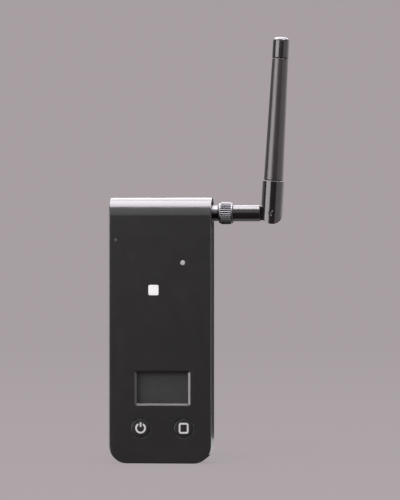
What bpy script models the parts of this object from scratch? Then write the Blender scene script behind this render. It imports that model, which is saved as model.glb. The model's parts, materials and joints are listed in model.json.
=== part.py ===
"""Handheld-size wireless receiver: a slim black case with a half-round top, a small display,
two push keys, a lit indicator and a folding whip antenna on a threaded side jack.

Frame: metres, +Z up, +X towards the antenna, the display faces -Y.
The origin is the centre of the stand socket's mouth, on the flat base.
"""

import math

import bmesh
import bpy
from mathutils import Matrix, Vector

# ---- case -------------------------------------------------------------------------------
BODY_W = 0.048
BODY_D = 0.018
BODY_H = 0.1245
WALL = 0.002
TOP_R = BODY_D / 2
TOP_CENTRE_Z = BODY_H - TOP_R
FOOT_CORNER_R = 0.0085
EDGE_R = 0.0005
HALF_SEAM = 0.00015
GAP = 0.0003

# ---- front panel features: (x, z) centres ------------------------------------------------
WINDOW_AT = (0.0011, 0.0352)
WINDOW_SIZE = (0.0261, 0.0164)
WINDOW_CHAMFER = 0.0005
WINDOW_BEVEL_W = 0.0010
WINDOW_LAND = 0.0004
WINDOW_OVERLAP = 0.0006
WINDOW_T = 0.0007
SEAL_DEPTH = (-0.0067, -0.0060)
SEAL_WIDTH = 0.0012
DISPLAY_FRONT = -0.0056
DISPLAY_T = 0.0018
DISPLAY_SIZE = (0.0330, 0.0216)
INDICATOR_AT = (-0.0031, 0.0810)
INDICATOR_SIZE = 0.0046
STATUS_AT = (0.0106, 0.0938)
STATUS_R = 0.0011
CHARGE_AT = (-0.0208, 0.1044)
CHARGE_R = 0.0007
LENS_FLANGE = 0.0003
POWER_AT = (-0.0091, 0.0165)
MODE_AT = (0.0111, 0.0165)
KEY_R = 0.0045
KEY_RECESS = 0.0001

# ---- fasteners and the stand socket --------------------------------------------------------
CASE_SCREWS = [(sx * 0.0186, z) for z in (0.012, 0.097) for sx in (-1, 1)]
BOARD_SCREWS = [(sx * 0.0186, 0.058) for sx in (-1, 1)]
BOSS_R = 0.0024
SHANK_R = 0.0010
HEAD_R = 0.0019
SOCKET_BORE_R = 0.00325
SOCKET_NECK_R = 0.0050
SOCKET_BLOCK = 0.013
SOCKET_DEPTH = 0.0082
SOCKET_TOP = 0.0090

# ---- circuit board and what it carries -----------------------------------------------------
BOARD_T = 0.0012
BOARD_W = 0.043
BOARD_LOW = 0.0040
BOARD_HIGH = 0.1205
BOARD_FRONT = -BOARD_T / 2 - GAP
BOARD_BACK = BOARD_T / 2 + GAP
USB_Z = 0.070
USB_SIZE = (0.0032, 0.0089)
AUDIO_Z = 0.086
AUDIO_BORE_R = 0.0018
PORT_MOUTH = -BODY_W / 2 + 0.0002

# ---- antenna, along +X from the side wall ---------------------------------------------------
ANTENNA_Z = 0.117
JACK_R = 0.003175
JACK_BORE_R = 0.0023
JACK_COLLAR_R = 0.0037
FLANGE_END = BODY_W / 2 - WALL - GAP
FLANGE_START = FLANGE_END - 0.0020
CONTACT_START = 0.0170
CONTACT_R = 0.00075
PIN_R = 0.00045
JACK_END = 0.0306
NUT_START = 0.0270
NUT_END = 0.0336
NUT_R = 0.0052
KNURLS = 32
BARREL_R = 0.0038
BARREL_START = NUT_END + GAP
PIVOT_X = 0.0517
FOOT_R = 0.0050
FOOT_LENGTH = 0.0150
TONGUE_R = 0.0033
TONGUE_T = 0.0038
WHIP_LENGTH = 0.0825
WHIP_LOW_R = 0.0045
WHIP_TOP_R = 0.00375
TIP_LENGTH = 0.0100
WHIP_LEAN = math.radians(3.2)
HINGE_PIN_R = 0.0010

ROUND_STEPS = 32
SMALL_STEPS = 20
ARC_STEPS = 8
SHARP_ANGLE = math.radians(35)
MOULDED = 0.45

FINISHES = {
    "case_black": ((0.030, 0.030, 0.031), 0.22, 0.0),
    "key_black": ((0.026, 0.026, 0.027), 0.26, 0.0),
    "window_smoke": ((0.050, 0.050, 0.052), 0.12, 0.0),
    "display_grey": ((0.16, 0.17, 0.16), 0.35, 0.0),
    "lens_white": ((0.92, 0.92, 0.90), 0.30, 0.0),
    "lens_grey": ((0.45, 0.45, 0.45), 0.30, 0.0),
    "led_cream": ((0.85, 0.80, 0.62), MOULDED, 0.0),
    "switch_black": ((0.05, 0.05, 0.05), MOULDED, 0.0),
    "plunger_brown": ((0.16, 0.09, 0.05), MOULDED, 0.0),
    "board_green": ((0.02, 0.13, 0.06), 0.40, 0.0),
    "chip_black": ((0.03, 0.03, 0.03), 0.50, 0.0),
    "tin_plate": ((0.62, 0.62, 0.60), 0.35, 1.0),
    "battery_silver": ((0.55, 0.56, 0.58), 0.40, 0.3),
    "foam_black": ((0.04, 0.04, 0.04), 0.90, 0.0),
    "flex_amber": ((0.45, 0.22, 0.05), 0.35, 0.0),
    "lead_red": ((0.50, 0.03, 0.03), MOULDED, 0.0),
    "socket_ivory": ((0.75, 0.72, 0.62), MOULDED, 0.0),
    "steel": ((0.30, 0.30, 0.31), 0.35, 1.0),
    "brass": ((0.68, 0.50, 0.22), 0.35, 1.0),
    "gold": ((0.85, 0.62, 0.25), 0.25, 1.0),
    "gunmetal": ((0.16, 0.16, 0.17), 0.28, 1.0),
    "insulator_white": ((0.85, 0.85, 0.85), MOULDED, 0.0),
    "antenna_gloss": ((0.022, 0.022, 0.023), 0.20, 0.0),
    "antenna_satin": ((0.030, 0.028, 0.030), 0.36, 0.0),
}


# ---- scene helpers ---------------------------------------------------------------------------
def clear_scene():
    for obj in list(bpy.data.objects):
        bpy.data.objects.remove(obj, do_unlink=True)


def make_finish(part_name, finish):
    """A Principled material of the part's own."""
    colour, roughness, metallic = FINISHES[finish]
    material = bpy.data.materials.new(f"{part_name}_{finish}")
    material.use_nodes = True
    shader = material.node_tree.nodes["Principled BSDF"]
    shader.inputs["Base Color"].default_value = (*colour, 1.0)
    shader.inputs["Roughness"].default_value = roughness
    shader.inputs["Metallic"].default_value = metallic
    return material


def make_empty(name, location, parent=None, lean=0.0):
    """A joint's own frame: its origin lies on the joint's axis."""
    empty = bpy.data.objects.new(name, None)
    bpy.context.collection.objects.link(empty)
    empty.location = location
    empty.rotation_euler = (0.0, lean, 0.0)
    empty.parent = parent
    return empty


def make_object(name, bm, finish=None, origin=(0.0, 0.0, 0.0), parent=None):
    """Turn a bmesh into an object whose own origin sits at the given point."""
    bmesh.ops.translate(bm, vec=-Vector(origin), verts=bm.verts)
    bmesh.ops.recalc_face_normals(bm, faces=bm.faces)
    mesh = bpy.data.meshes.new(name)
    bm.to_mesh(mesh)
    bm.free()
    mesh.shade_smooth()
    mesh.set_sharp_from_angle(angle=SHARP_ANGLE)
    obj = bpy.data.objects.new(name, mesh)
    bpy.context.collection.objects.link(obj)
    obj.location = origin
    obj.parent = parent
    if finish:
        mesh.materials.append(make_finish(name, finish))
    return obj


def make_tool(name, *shapes):
    """A hidden guide solid, made of shapes that don't touch each other."""
    whole = shapes[0]
    for shape in shapes[1:]:
        loose = bpy.data.meshes.new("loose")
        shape.to_mesh(loose)
        shape.free()
        whole.from_mesh(loose)
        bpy.data.meshes.remove(loose)
    tool = make_object(name, whole)
    tool.hide_render = True
    tool.display_type = "WIRE"
    return tool


def combine(obj, tool, operation):
    modifier = obj.modifiers.new(tool.name, "BOOLEAN")
    modifier.operation = operation
    modifier.solver = "EXACT"
    modifier.object = tool


def round_edges(obj, width, segments=2):
    modifier = obj.modifiers.new("edges", "BEVEL")
    modifier.width = width
    modifier.segments = segments
    modifier.limit_method = "ANGLE"
    modifier.angle_limit = SHARP_ANGLE


# ---- shape helpers ---------------------------------------------------------------------------
def arc(centre, radius, start_deg, end_deg, steps=ARC_STEPS):
    """Points along an arc, both ends included."""
    angles = [math.radians(start_deg + (end_deg - start_deg) * i / steps) for i in range(steps + 1)]
    return [(centre[0] + radius * math.cos(a), centre[1] + radius * math.sin(a)) for a in angles]


def rounded_rect(width, height, radius, centre=(0.0, 0.0), steps=4):
    cx, cy = centre
    dx, dy = width / 2 - radius, height / 2 - radius
    corners = [(1, 1, 0), (-1, 1, 90), (-1, -1, 180), (1, -1, 270)]
    points = []
    for sx, sy, start in corners:
        points += arc((cx + sx * dx, cy + sy * dy), radius, start, start + 90, steps)
    return points


def along(axis, u, v, w):
    """Place outline coordinates (u, v) at distance w along an axis."""
    return {"X": (w, u, v), "Y": (u, w, v), "Z": (u, v, w)}[axis]


def loft(axis, rings):
    """Closed solid through (distance, outline) rings with equal numbers of points."""
    bm = bmesh.new()
    loops = [[bm.verts.new(along(axis, u, v, w)) for u, v in outline] for w, outline in rings]
    for near, far in zip(loops, loops[1:]):
        count = len(near)
        for i in range(count):
            j = (i + 1) % count
            bm.faces.new((near[i], near[j], far[j], far[i]))
    bm.faces.new(loops[0])
    bm.faces.new(loops[-1])
    bmesh.ops.recalc_face_normals(bm, faces=bm.faces)
    return bm


def prism(axis, outline, start, end):
    return loft(axis, [(start, outline), (end, outline)])


def block(x, y, z):
    """Box from its (low, high) pairs."""
    outline = [(x[0], z[0]), (x[1], z[0]), (x[1], z[1]), (x[0], z[1])]
    return prism("Y", outline, y[0], y[1])


def turned(axis, centre, profile, steps=ROUND_STEPS, hollow=False):
    """Solid of revolution from (distance, radius) points along the axis.

    A hollow part's profile is a closed loop; a full one starts and ends on the axis.
    """
    bm = bmesh.new()
    verts = [bm.verts.new((radius, 0.0, distance)) for distance, radius in profile]
    edges = [bm.edges.new(pair) for pair in zip(verts, verts[1:])]
    if hollow:
        edges.append(bm.edges.new((verts[-1], verts[0])))
    bmesh.ops.spin(bm, geom=verts + edges, cent=(0, 0, 0), axis=(0, 0, 1), dvec=(0, 0, 0),
                   angle=2 * math.pi, steps=steps, use_merge=True, use_duplicate=False)
    bmesh.ops.remove_doubles(bm, verts=bm.verts, dist=1e-7)
    turn = {"X": Matrix.Rotation(math.pi / 2, 4, "Y"),
            "Y": Matrix.Rotation(-math.pi / 2, 4, "X"),
            "Z": Matrix.Identity(4)}[axis]
    bmesh.ops.transform(bm, matrix=Matrix.Translation(centre) @ turn, verts=bm.verts)
    bmesh.ops.recalc_face_normals(bm, faces=bm.faces)
    return bm


def rod(axis, centre, radius, start, end, steps=SMALL_STEPS):
    return turned(axis, centre, [(start, 0), (start, radius), (end, radius), (end, 0)], steps)


def tube(axis, centre, outer, inner, start, end, steps=SMALL_STEPS):
    loop = [(start, inner), (start, outer), (end, outer), (end, inner)]
    return turned(axis, centre, loop, steps, hollow=True)


# ---- case shells -----------------------------------------------------------------------------
def case_outline(inset):
    """Front outline: square shoulders, round lower corners. The top is left to the side form."""
    half = BODY_W / 2 - inset
    radius = FOOT_CORNER_R - inset
    top = BODY_H + WALL
    right = arc((half - radius, inset + radius), radius, -90, 0)
    left = arc((-half + radius, inset + radius), radius, 180, 270)
    return left + right + [(half, top), (-half, top)]


def side_outline(inset):
    """Side outline (y, z): flat faces that run into a half-round top."""
    half = BODY_D / 2 - inset
    over_top = arc((0.0, TOP_CENTRE_Z), half, 0, 180, 24)
    return [(half, -WALL)] + over_top + [(-half, -WALL)]


def form_tool(name, inset):
    """The side form as a hidden solid, wider than the case."""
    return make_tool(name, prism("X", side_outline(inset), -BODY_W, BODY_W))


def make_shell(name, side, outer_side, cavity, ports):
    """One half of the case: side is -1 for the front and +1 for the rear."""
    block_form = prism("Y", case_outline(0.0), -BODY_D, BODY_D)
    shell = make_object(name, block_form, "case_black")
    combine(shell, outer_side, "INTERSECT")
    round_edges(shell, EDGE_R)
    other_half = sorted((-side * BODY_D, side * HALF_SEAM))
    reach = (-BODY_W, BODY_W)
    tool = make_tool(f"{name}_other_half", block(reach, other_half, (-WALL, BODY_H + WALL)))
    combine(shell, tool, "DIFFERENCE")
    combine(shell, cavity, "DIFFERENCE")
    combine(shell, ports, "DIFFERENCE")
    return shell


def make_cavity():
    cavity = make_tool("cavity", prism("Y", case_outline(WALL), -BODY_D, BODY_D))
    combine(cavity, form_tool("cavity_side", WALL), "INTERSECT")
    return cavity


def make_ports():
    """Side and bottom openings that both shells share, on the seam plane."""
    outside = BODY_W / 2 + WALL
    inside = BODY_W / 2 - 2 * WALL
    usb = rounded_rect(USB_SIZE[0] + 0.0005, USB_SIZE[1] + 0.0005, 0.0017, (0.0, USB_Z))
    return make_tool(
        "ports",
        rod("X", (0, 0, ANTENNA_Z), JACK_COLLAR_R + GAP, inside, outside, ROUND_STEPS),
        rod("X", (0, 0, AUDIO_Z), 0.0027, -outside, -inside, ROUND_STEPS),
        prism("X", usb, -outside, -inside),
        rod("Z", (0, 0, 0), SOCKET_NECK_R + GAP, -WALL, 2 * WALL, ROUND_STEPS),
    )


def screw_posts(side, points, reach):
    """Round posts from the shell's flat wall towards the board."""
    ends = sorted((side * (BODY_D / 2 - WALL / 2), side * reach))
    return [rod("Y", (x, 0, z), BOSS_R, ends[0], ends[1]) for x, z in points]


def socket_ribs(side):
    """A cap and two cheeks that hold the stand socket's block."""
    deep = sorted((side * (BODY_D / 2 - WALL / 2), side * (BOARD_T / 2 + GAP)))
    half = SOCKET_BLOCK / 2 + GAP
    top = SOCKET_TOP + GAP
    outline = [(-half - 0.0012, WALL / 2), (-half, WALL / 2), (-half, top), (half, top),
               (half, WALL / 2), (half + 0.0012, WALL / 2), (half + 0.0012, top + 0.0012),
               (-half - 0.0012, top + 0.0012)]
    return prism("Y", outline, deep[0], deep[1])


def make_front_shell(outer_side, cavity, ports):
    shell = make_shell("front_shell", -1, outer_side, cavity, ports)
    posts = screw_posts(-1, CASE_SCREWS + BOARD_SCREWS, BOARD_T / 2 + GAP)
    combine(shell, make_tool("front_posts", *posts), "UNION")
    combine(shell, make_tool("front_ribs", socket_ribs(-1)), "UNION")
    pilots = [rod("Y", (x, 0, z), SHANK_R + GAP, -0.0066, 0.0)
              for x, z in CASE_SCREWS + BOARD_SCREWS]
    combine(shell, make_tool("front_pilots", *pilots), "DIFFERENCE")
    combine(shell, make_tool("front_openings", *front_openings()), "DIFFERENCE")


def front_openings():
    face = -BODY_D / 2
    inner = face + WALL
    outside, inside = face - WALL / 2, inner + WALL / 2
    shapes = [window_opening(face, inner)]
    for x, z in (POWER_AT, MODE_AT):
        shapes.append(rod("Y", (x, 0, z), KEY_R + 0.00025, outside, inside, ROUND_STEPS))
    for (x, z), radius in ((STATUS_AT, STATUS_R), (CHARGE_AT, CHARGE_R)):
        shapes.append(rod("Y", (x, 0, z), radius + GAP / 2, outside, inside))
    side = INDICATOR_SIZE + GAP
    shapes.append(prism("Y", rounded_rect(side, side, 0.0007, INDICATOR_AT), outside, inside))
    return shapes


def window_opening(face, inner):
    """Chamfered aperture with a wider pocket behind it for the window."""
    width, height = WINDOW_SIZE
    proud = 0.0003
    pocket = face + WINDOW_CHAMFER + WINDOW_LAND

    def ring(grow, radius):
        return rounded_rect(width + 2 * grow, height + 2 * grow, radius, WINDOW_AT)

    return loft("Y", [
        (face - proud, ring(proud * WINDOW_BEVEL_W / WINDOW_CHAMFER, 0.0012)),
        (face + WINDOW_CHAMFER, ring(-WINDOW_BEVEL_W, 0.0003)),
        (pocket, ring(-WINDOW_BEVEL_W, 0.0003)),
        (pocket, ring(WINDOW_OVERLAP, 0.0008)),
        (inner + WALL / 2, ring(WINDOW_OVERLAP, 0.0008)),
    ])


def make_rear_shell(outer_side, cavity, ports):
    shell = make_shell("rear_shell", 1, outer_side, cavity, ports)
    posts = screw_posts(1, CASE_SCREWS, BOARD_T / 2 + GAP)
    combine(shell, make_tool("rear_posts", *posts), "UNION")
    combine(shell, make_tool("rear_ribs", socket_ribs(1)), "UNION")
    back = BODY_D / 2
    seat = back - 0.0024
    holes = [turned("Y", (x, 0, z), [(0.0, 0.0), (0.0, SHANK_R + GAP), (seat, SHANK_R + GAP),
                                     (seat, HEAD_R + GAP), (back + WALL, HEAD_R + GAP),
                                     (back + WALL, 0.0)], SMALL_STEPS) for x, z in CASE_SCREWS]
    combine(shell, make_tool("rear_holes", *holes), "DIFFERENCE")


def make_case_screw(index, at):
    """Pan-head screw from the back, with a cross recess."""
    x, z = at
    under = BODY_D / 2 - 0.0024 + GAP
    top = under + 0.0014
    tip = -0.0060
    profile = [(tip, 0), (tip + 0.0007, SHANK_R), (under, SHANK_R), (under, HEAD_R),
               (top - 0.0005, HEAD_R), (top, HEAD_R * 0.7), (top, 0)]
    bm = turned("Y", (x, 0, z), profile, SMALL_STEPS)
    screw = make_object(f"case_screw_{index}", bm, "steel", (x, under, z))
    combine(screw, cross_recess(f"case_screw_{index}_drive", x, z, top), "DIFFERENCE")


def make_board_screw(index, at):
    """Short pan-head screw that holds the board to a front post."""
    x, z = at
    under = BOARD_BACK
    top = under + 0.0011
    tip = -0.0056
    profile = [(tip, 0), (tip + 0.0006, SHANK_R), (under, SHANK_R), (under, 0.0017),
               (top - 0.0003, 0.0017), (top, 0.0012), (top, 0)]
    bm = turned("Y", (x, 0, z), profile, SMALL_STEPS)
    screw = make_object(f"board_screw_{index}", bm, "steel", (x, under, z))
    combine(screw, cross_recess(f"board_screw_{index}_drive", x, z, top), "DIFFERENCE")


def cross_recess(name, x, z, top):
    """Driver cross, cut 0.6 mm into a screw's head."""
    arm, half = 0.0010, 0.00022
    outline = [(half, half), (arm, half), (arm, -half), (half, -half), (half, -arm),
               (-half, -arm), (-half, -half), (-arm, -half), (-arm, half), (-half, half),
               (-half, arm), (half, arm)]
    placed = [(x + u, z + v) for u, v in outline]
    return make_tool(name, prism("Y", placed, top - 0.0006, top + 0.0010))


# ---- front panel pieces ------------------------------------------------------------------------
def make_window():
    """Smoked window in its pocket behind the aperture."""
    grow = 2 * (WINDOW_OVERLAP - GAP)
    outline = rounded_rect(WINDOW_SIZE[0] + grow, WINDOW_SIZE[1] + grow, 0.0005, WINDOW_AT)
    start = -BODY_D / 2 + WINDOW_CHAMFER + WINDOW_LAND + GAP
    make_object("display_window", prism("Y", outline, start, start + WINDOW_T), "window_smoke",
                (WINDOW_AT[0], start, WINDOW_AT[1]))


def make_window_seal():
    """Foam frame between the window and the display panel."""
    x, z = WINDOW_AT
    start, end = SEAL_DEPTH
    width, height = WINDOW_SIZE[0] + 2 * GAP, WINDOW_SIZE[1] + 2 * GAP
    outer = rounded_rect(width, height, 0.0006, WINDOW_AT)
    seal = make_object("window_seal", prism("Y", outer, start, end), "foam_black", (x, start, z))
    inner = rounded_rect(width - 2 * SEAL_WIDTH, height - 2 * SEAL_WIDTH, 0.0006, WINDOW_AT)
    opening = make_tool("window_seal_opening", prism("Y", inner, start - GAP, end + GAP))
    combine(seal, opening, "DIFFERENCE")


def make_display():
    x, z = WINDOW_AT
    outline = rounded_rect(*DISPLAY_SIZE, 0.0004, WINDOW_AT)
    panel = prism("Y", outline, DISPLAY_FRONT, DISPLAY_FRONT + DISPLAY_T)
    make_object("display_panel", panel, "display_grey", (x, DISPLAY_FRONT, z))


def make_display_flex():
    """Ribbon from the panel's upper edge back to its socket on the board."""
    x, z = WINDOW_AT
    low = z + DISPLAY_SIZE[1] / 2 + GAP
    path = [(-0.0048, low), (-0.0048, low + 0.0018), (-0.0040, low + 0.0035),
            (-0.0026, low + 0.0047), (-0.0018, low + 0.0052)]
    thick = 0.00015
    side_a, side_b = [], []
    for i, point in enumerate(path):
        here = Vector(point)
        before = Vector(path[max(i - 1, 0)])
        after = Vector(path[min(i + 1, len(path) - 1)])
        way = (after - before).normalized()
        across = Vector((-way.y, way.x)) * thick
        side_a.append(tuple(here + across))
        side_b.append(tuple(here - across))
    outline = side_a + side_b[::-1]
    ribbon = prism("X", outline, x - 0.005, x + 0.005)
    make_object("display_flex", ribbon, "flex_amber", (x, path[0][0], low))
    top = path[-1][1] + GAP
    socket = block((x - 0.006, x + 0.006), (-0.0021, BOARD_FRONT), (top, top + 0.0028))
    make_object("display_socket", socket, "socket_ivory", (x, BOARD_FRONT, top))


def make_light_pipe(name, at, outline, flange, stem, finish):
    """Lens flush with the face, a flange behind the wall and a stem to its light."""
    x, z = at
    face = -BODY_D / 2
    inner = face + WALL + GAP
    bm = loft("Y", [(face, outline), (inner, outline), (inner, flange), (inner + 0.0008, flange),
                    (inner + 0.0008, stem), (-0.0031, stem)])
    make_object(name, bm, finish, (x, face, z))


def make_lights():
    side = INDICATOR_SIZE
    make_light_pipe("indicator_lens", INDICATOR_AT, rounded_rect(side, side, 0.0006, INDICATOR_AT),
                    rounded_rect(0.0070, 0.0070, 0.0006, INDICATOR_AT),
                    rounded_rect(0.0040, 0.0040, 0.0006, INDICATOR_AT), "lens_white")
    make_led("indicator_led", INDICATOR_AT, 0.0035, 0.0028, 0.0016)
    for name, at, radius in (("status", STATUS_AT, STATUS_R), ("charge", CHARGE_AT, CHARGE_R)):
        rings = [arc(at, r, 0, 360 * (1 - 1 / SMALL_STEPS), SMALL_STEPS - 1)
                 for r in (radius, radius + LENS_FLANGE, radius * 0.9)]
        make_light_pipe(f"{name}_lens", at, *rings, "lens_grey")
        make_led(f"{name}_led", at, 0.0016, 0.0008, 0.0007)


def make_led(name, at, width, height, tall):
    x, z = at
    bm = block((x - width / 2, x + width / 2), (BOARD_FRONT - tall, BOARD_FRONT),
               (z - height / 2, z + height / 2))
    make_object(name, bm, "led_cream", (x, BOARD_FRONT, z))


def make_key(name, at):
    """Round key cap with a retaining flange and a short stem, and the switch it presses."""
    x, z = at
    face = -BODY_D / 2 + KEY_RECESS
    inner = -BODY_D / 2 + WALL + GAP
    axis = make_empty(f"{name}_press_axis", (x, face, z))
    profile = [(0.0, 0.0), (0.0, KEY_R - 0.0003), (0.0003, KEY_R), (inner - face, KEY_R),
               (inner - face, KEY_R + 0.0008), (inner - face + 0.0008, KEY_R + 0.0008),
               (inner - face + 0.0008, 0.0015), (0.0045, 0.0015), (0.0045, 0.0)]
    make_object(f"{name}_key", turned("Y", (0, 0, 0), profile), "key_black", parent=axis)
    plunger_start = 0.0045 + GAP
    plunger = rod("Y", (0, 0, 0), 0.00115, plunger_start, plunger_start + 0.0019)
    make_object(f"{name}_plunger", plunger, "plunger_brown", parent=axis)
    half = 0.00225
    front = BOARD_FRONT - 0.0018
    body = block((x - half, x + half), (front, BOARD_FRONT), (z - half, z + half))
    switch = make_object(f"{name}_switch", body, "switch_black", (x, BOARD_FRONT, z))
    well = rod("Y", (x, 0, z), 0.00145, front - 0.0005, BOARD_FRONT - 0.0006)
    combine(switch, make_tool(f"{name}_switch_well", well), "DIFFERENCE")


# ---- board and electronics ---------------------------------------------------------------------
def make_board():
    half = BOARD_W / 2
    height = BOARD_HIGH - BOARD_LOW
    outline = rounded_rect(BOARD_W, height, 0.0060, (0.0, BOARD_LOW + height / 2))
    board = make_object("main_board", prism("Y", outline, -BOARD_T / 2, BOARD_T / 2),
                        "board_green", (0, 0, BOARD_LOW))
    through = (-BOARD_T, BOARD_T)
    past = half + WALL
    socket_half = SOCKET_BLOCK / 2 + 0.0020
    notches = [
        block((-socket_half, socket_half), through, (0.0, SOCKET_TOP + 0.0021)),
        block((-past, -0.0161), through, (USB_Z - 0.0049, USB_Z + 0.0049)),
        block((-past, -0.0093), through, (AUDIO_Z - 0.0033, AUDIO_Z + 0.0033)),
        jack_notch(past, through),
    ]
    combine(board, make_tool("board_notches", *notches), "DIFFERENCE")
    holes = [rod("Y", (x, 0, z), SHANK_R + GAP, *through) for x, z in CASE_SCREWS + BOARD_SCREWS]
    combine(board, make_tool("board_holes", *holes), "DIFFERENCE")


def jack_notch(past, through):
    """Edge notch for the jack's flange, with a narrow slot for its contact."""
    edge, slot_end = FLANGE_START - 0.0004, CONTACT_START - 0.0005
    low, high = ANTENNA_Z - JACK_R - 0.0006, ANTENNA_Z + 0.0060
    slot_low, slot_high = ANTENNA_Z - 0.0011, ANTENNA_Z + 0.0011
    outline = [(past, low), (edge, low), (edge, slot_low), (slot_end, slot_low),
               (slot_end, slot_high), (edge, slot_high), (edge, high), (past, high)]
    return prism("Y", outline, *through)


def make_chip(name, at, size, height, side, finish="chip_black"):
    """Square package on the front (side -1) or back (side +1) of the board."""
    x, z = at
    deep = sorted((side * BOARD_BACK, side * (BOARD_BACK + height)))
    half_w, half_h = size[0] / 2, size[1] / 2
    bm = block((x - half_w, x + half_w), deep, (z - half_h, z + half_h))
    chip = make_object(name, bm, finish, (x, side * BOARD_BACK, z))
    round_edges(chip, 0.00015, 1)


def make_shield():
    """Pressed can over the radio chip, open towards the board."""
    x, z = (0.0, 0.1065)
    low, high = BOARD_BACK, BOARD_BACK + 0.0026
    can = block((x - 0.012, x + 0.012), (low, high), (z - 0.008, z + 0.008))
    shield = make_object("radio_shield", can, "tin_plate", (x, low, z))
    round_edges(shield, 0.0004)
    inside = block((x - 0.0117, x + 0.0117), (low - GAP, high - GAP), (z - 0.0077, z + 0.0077))
    combine(shield, make_tool("radio_shield_inside", inside), "DIFFERENCE")
    make_chip("radio_chip", (x - 0.002, z), (0.005, 0.005), 0.0009, 1)


def make_battery():
    z_low, z_high = 0.0160, 0.0620
    pad_back = BOARD_BACK + 0.0005
    pad = block((-0.013, 0.013), (BOARD_BACK, pad_back), (z_low + 0.003, z_high - 0.003))
    make_object("battery_pad", pad, "foam_black", (0, BOARD_BACK, z_low))
    front = pad_back + GAP
    outline = rounded_rect(0.030, 0.0046, 0.0018, (0.0, front + 0.0023))
    pouch = prism("Z", outline, z_low, z_high)
    make_object("battery", pouch, "battery_silver", (0, front, z_low))
    make_battery_lead(front + 0.0023, z_high + GAP)


def make_battery_lead(y, z):
    """Short lead from the cell's top, over to its socket on the board."""
    curve = bpy.data.curves.new("battery_lead", "CURVE")
    curve.dimensions = "3D"
    curve.bevel_depth = 0.0006
    curve.bevel_resolution = 2
    curve.use_fill_caps = True
    start, end = Vector((0.002, y, z)), Vector((0.0085, BOARD_BACK + 0.0015, z + 0.0040))
    knee_a, knee_b = start + Vector((0, 0, 0.0035)), end - Vector((0.0045, 0, 0))
    spline = curve.splines.new("POLY")
    count = 14
    spline.points.add(count - 1)
    for i in range(count):
        t = i / (count - 1)
        point = (start * (1 - t) ** 3 + knee_a * 3 * t * (1 - t) ** 2
                 + knee_b * 3 * t * t * (1 - t) + end * t ** 3)
        spline.points[i].co = (*point, 1.0)
    lead = bpy.data.objects.new("battery_lead", curve)
    bpy.context.collection.objects.link(lead)
    curve.materials.append(make_finish("battery_lead", "lead_red"))
    x = end.x + GAP
    socket = block((x, x + 0.0045), (BOARD_BACK, BOARD_BACK + 0.0030),
                   (end.z - 0.0026, end.z + 0.0026))
    make_object("battery_socket", socket, "socket_ivory", (x, BOARD_BACK, end.z))


def make_usb_socket():
    """Charging socket: a pressed shell with a contact tongue, open to the left."""
    mouth, back = PORT_MOUTH, -0.0165
    deep, tall = USB_SIZE
    at = (0.0, USB_Z)
    outline = rounded_rect(deep, tall, deep * 0.48, at, 5)
    socket = make_object("usb_socket", prism("X", outline, mouth, back), "tin_plate",
                         (back, 0, USB_Z))
    hollow = rounded_rect(deep - 0.0006, tall - 0.0006, (deep - 0.0006) * 0.48, at, 5)
    inside = make_tool("usb_socket_inside", prism("X", hollow, mouth - GAP, back - 0.0008))
    combine(socket, inside, "DIFFERENCE")
    tongue = block((mouth + 0.0009, back - 0.0004), (-0.00035, 0.00035),
                   (USB_Z - 0.0033, USB_Z + 0.0033))
    combine(socket, make_tool("usb_socket_tongue", tongue), "UNION")


def make_audio_jack():
    """Round audio output: a moulded block with a short barrel in the wall."""
    wall_face = -BODY_W / 2 + WALL + GAP
    body = block((wall_face, -0.0096), (-0.0025, 0.0025), (AUDIO_Z - 0.0030, AUDIO_Z + 0.0030))
    jack = make_object("audio_jack", body, "switch_black", (wall_face, 0, AUDIO_Z))
    barrel = rod("X", (0, 0, AUDIO_Z), 0.0024, PORT_MOUTH, wall_face + 0.0005, ROUND_STEPS)
    combine(jack, make_tool("audio_jack_barrel", barrel), "UNION")
    bore = rod("X", (0, 0, AUDIO_Z), AUDIO_BORE_R, PORT_MOUTH - 0.0010, -0.0106, ROUND_STEPS)
    combine(jack, make_tool("audio_jack_bore", bore), "DIFFERENCE")


def make_stand_socket():
    """Captive brass nut in the base: a square block with a round neck and a blind bore."""
    low = WALL + GAP
    half = SOCKET_BLOCK / 2
    nut = make_object("stand_socket", block((-half, half), (-half, half), (low, SOCKET_TOP)),
                      "brass")
    neck = rod("Z", (0, 0, 0), SOCKET_NECK_R, 0.0, low + 0.0005, ROUND_STEPS)
    combine(nut, make_tool("stand_socket_neck", neck), "UNION")
    bore = turned("Z", (0, 0, 0), [(-0.0005, 0), (-0.0005, SOCKET_BORE_R + 0.0009),
                                   (0.0004, SOCKET_BORE_R), (SOCKET_DEPTH, SOCKET_BORE_R),
                                   (SOCKET_DEPTH, 0)])
    combine(nut, make_tool("stand_socket_bore", bore), "DIFFERENCE")


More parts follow.
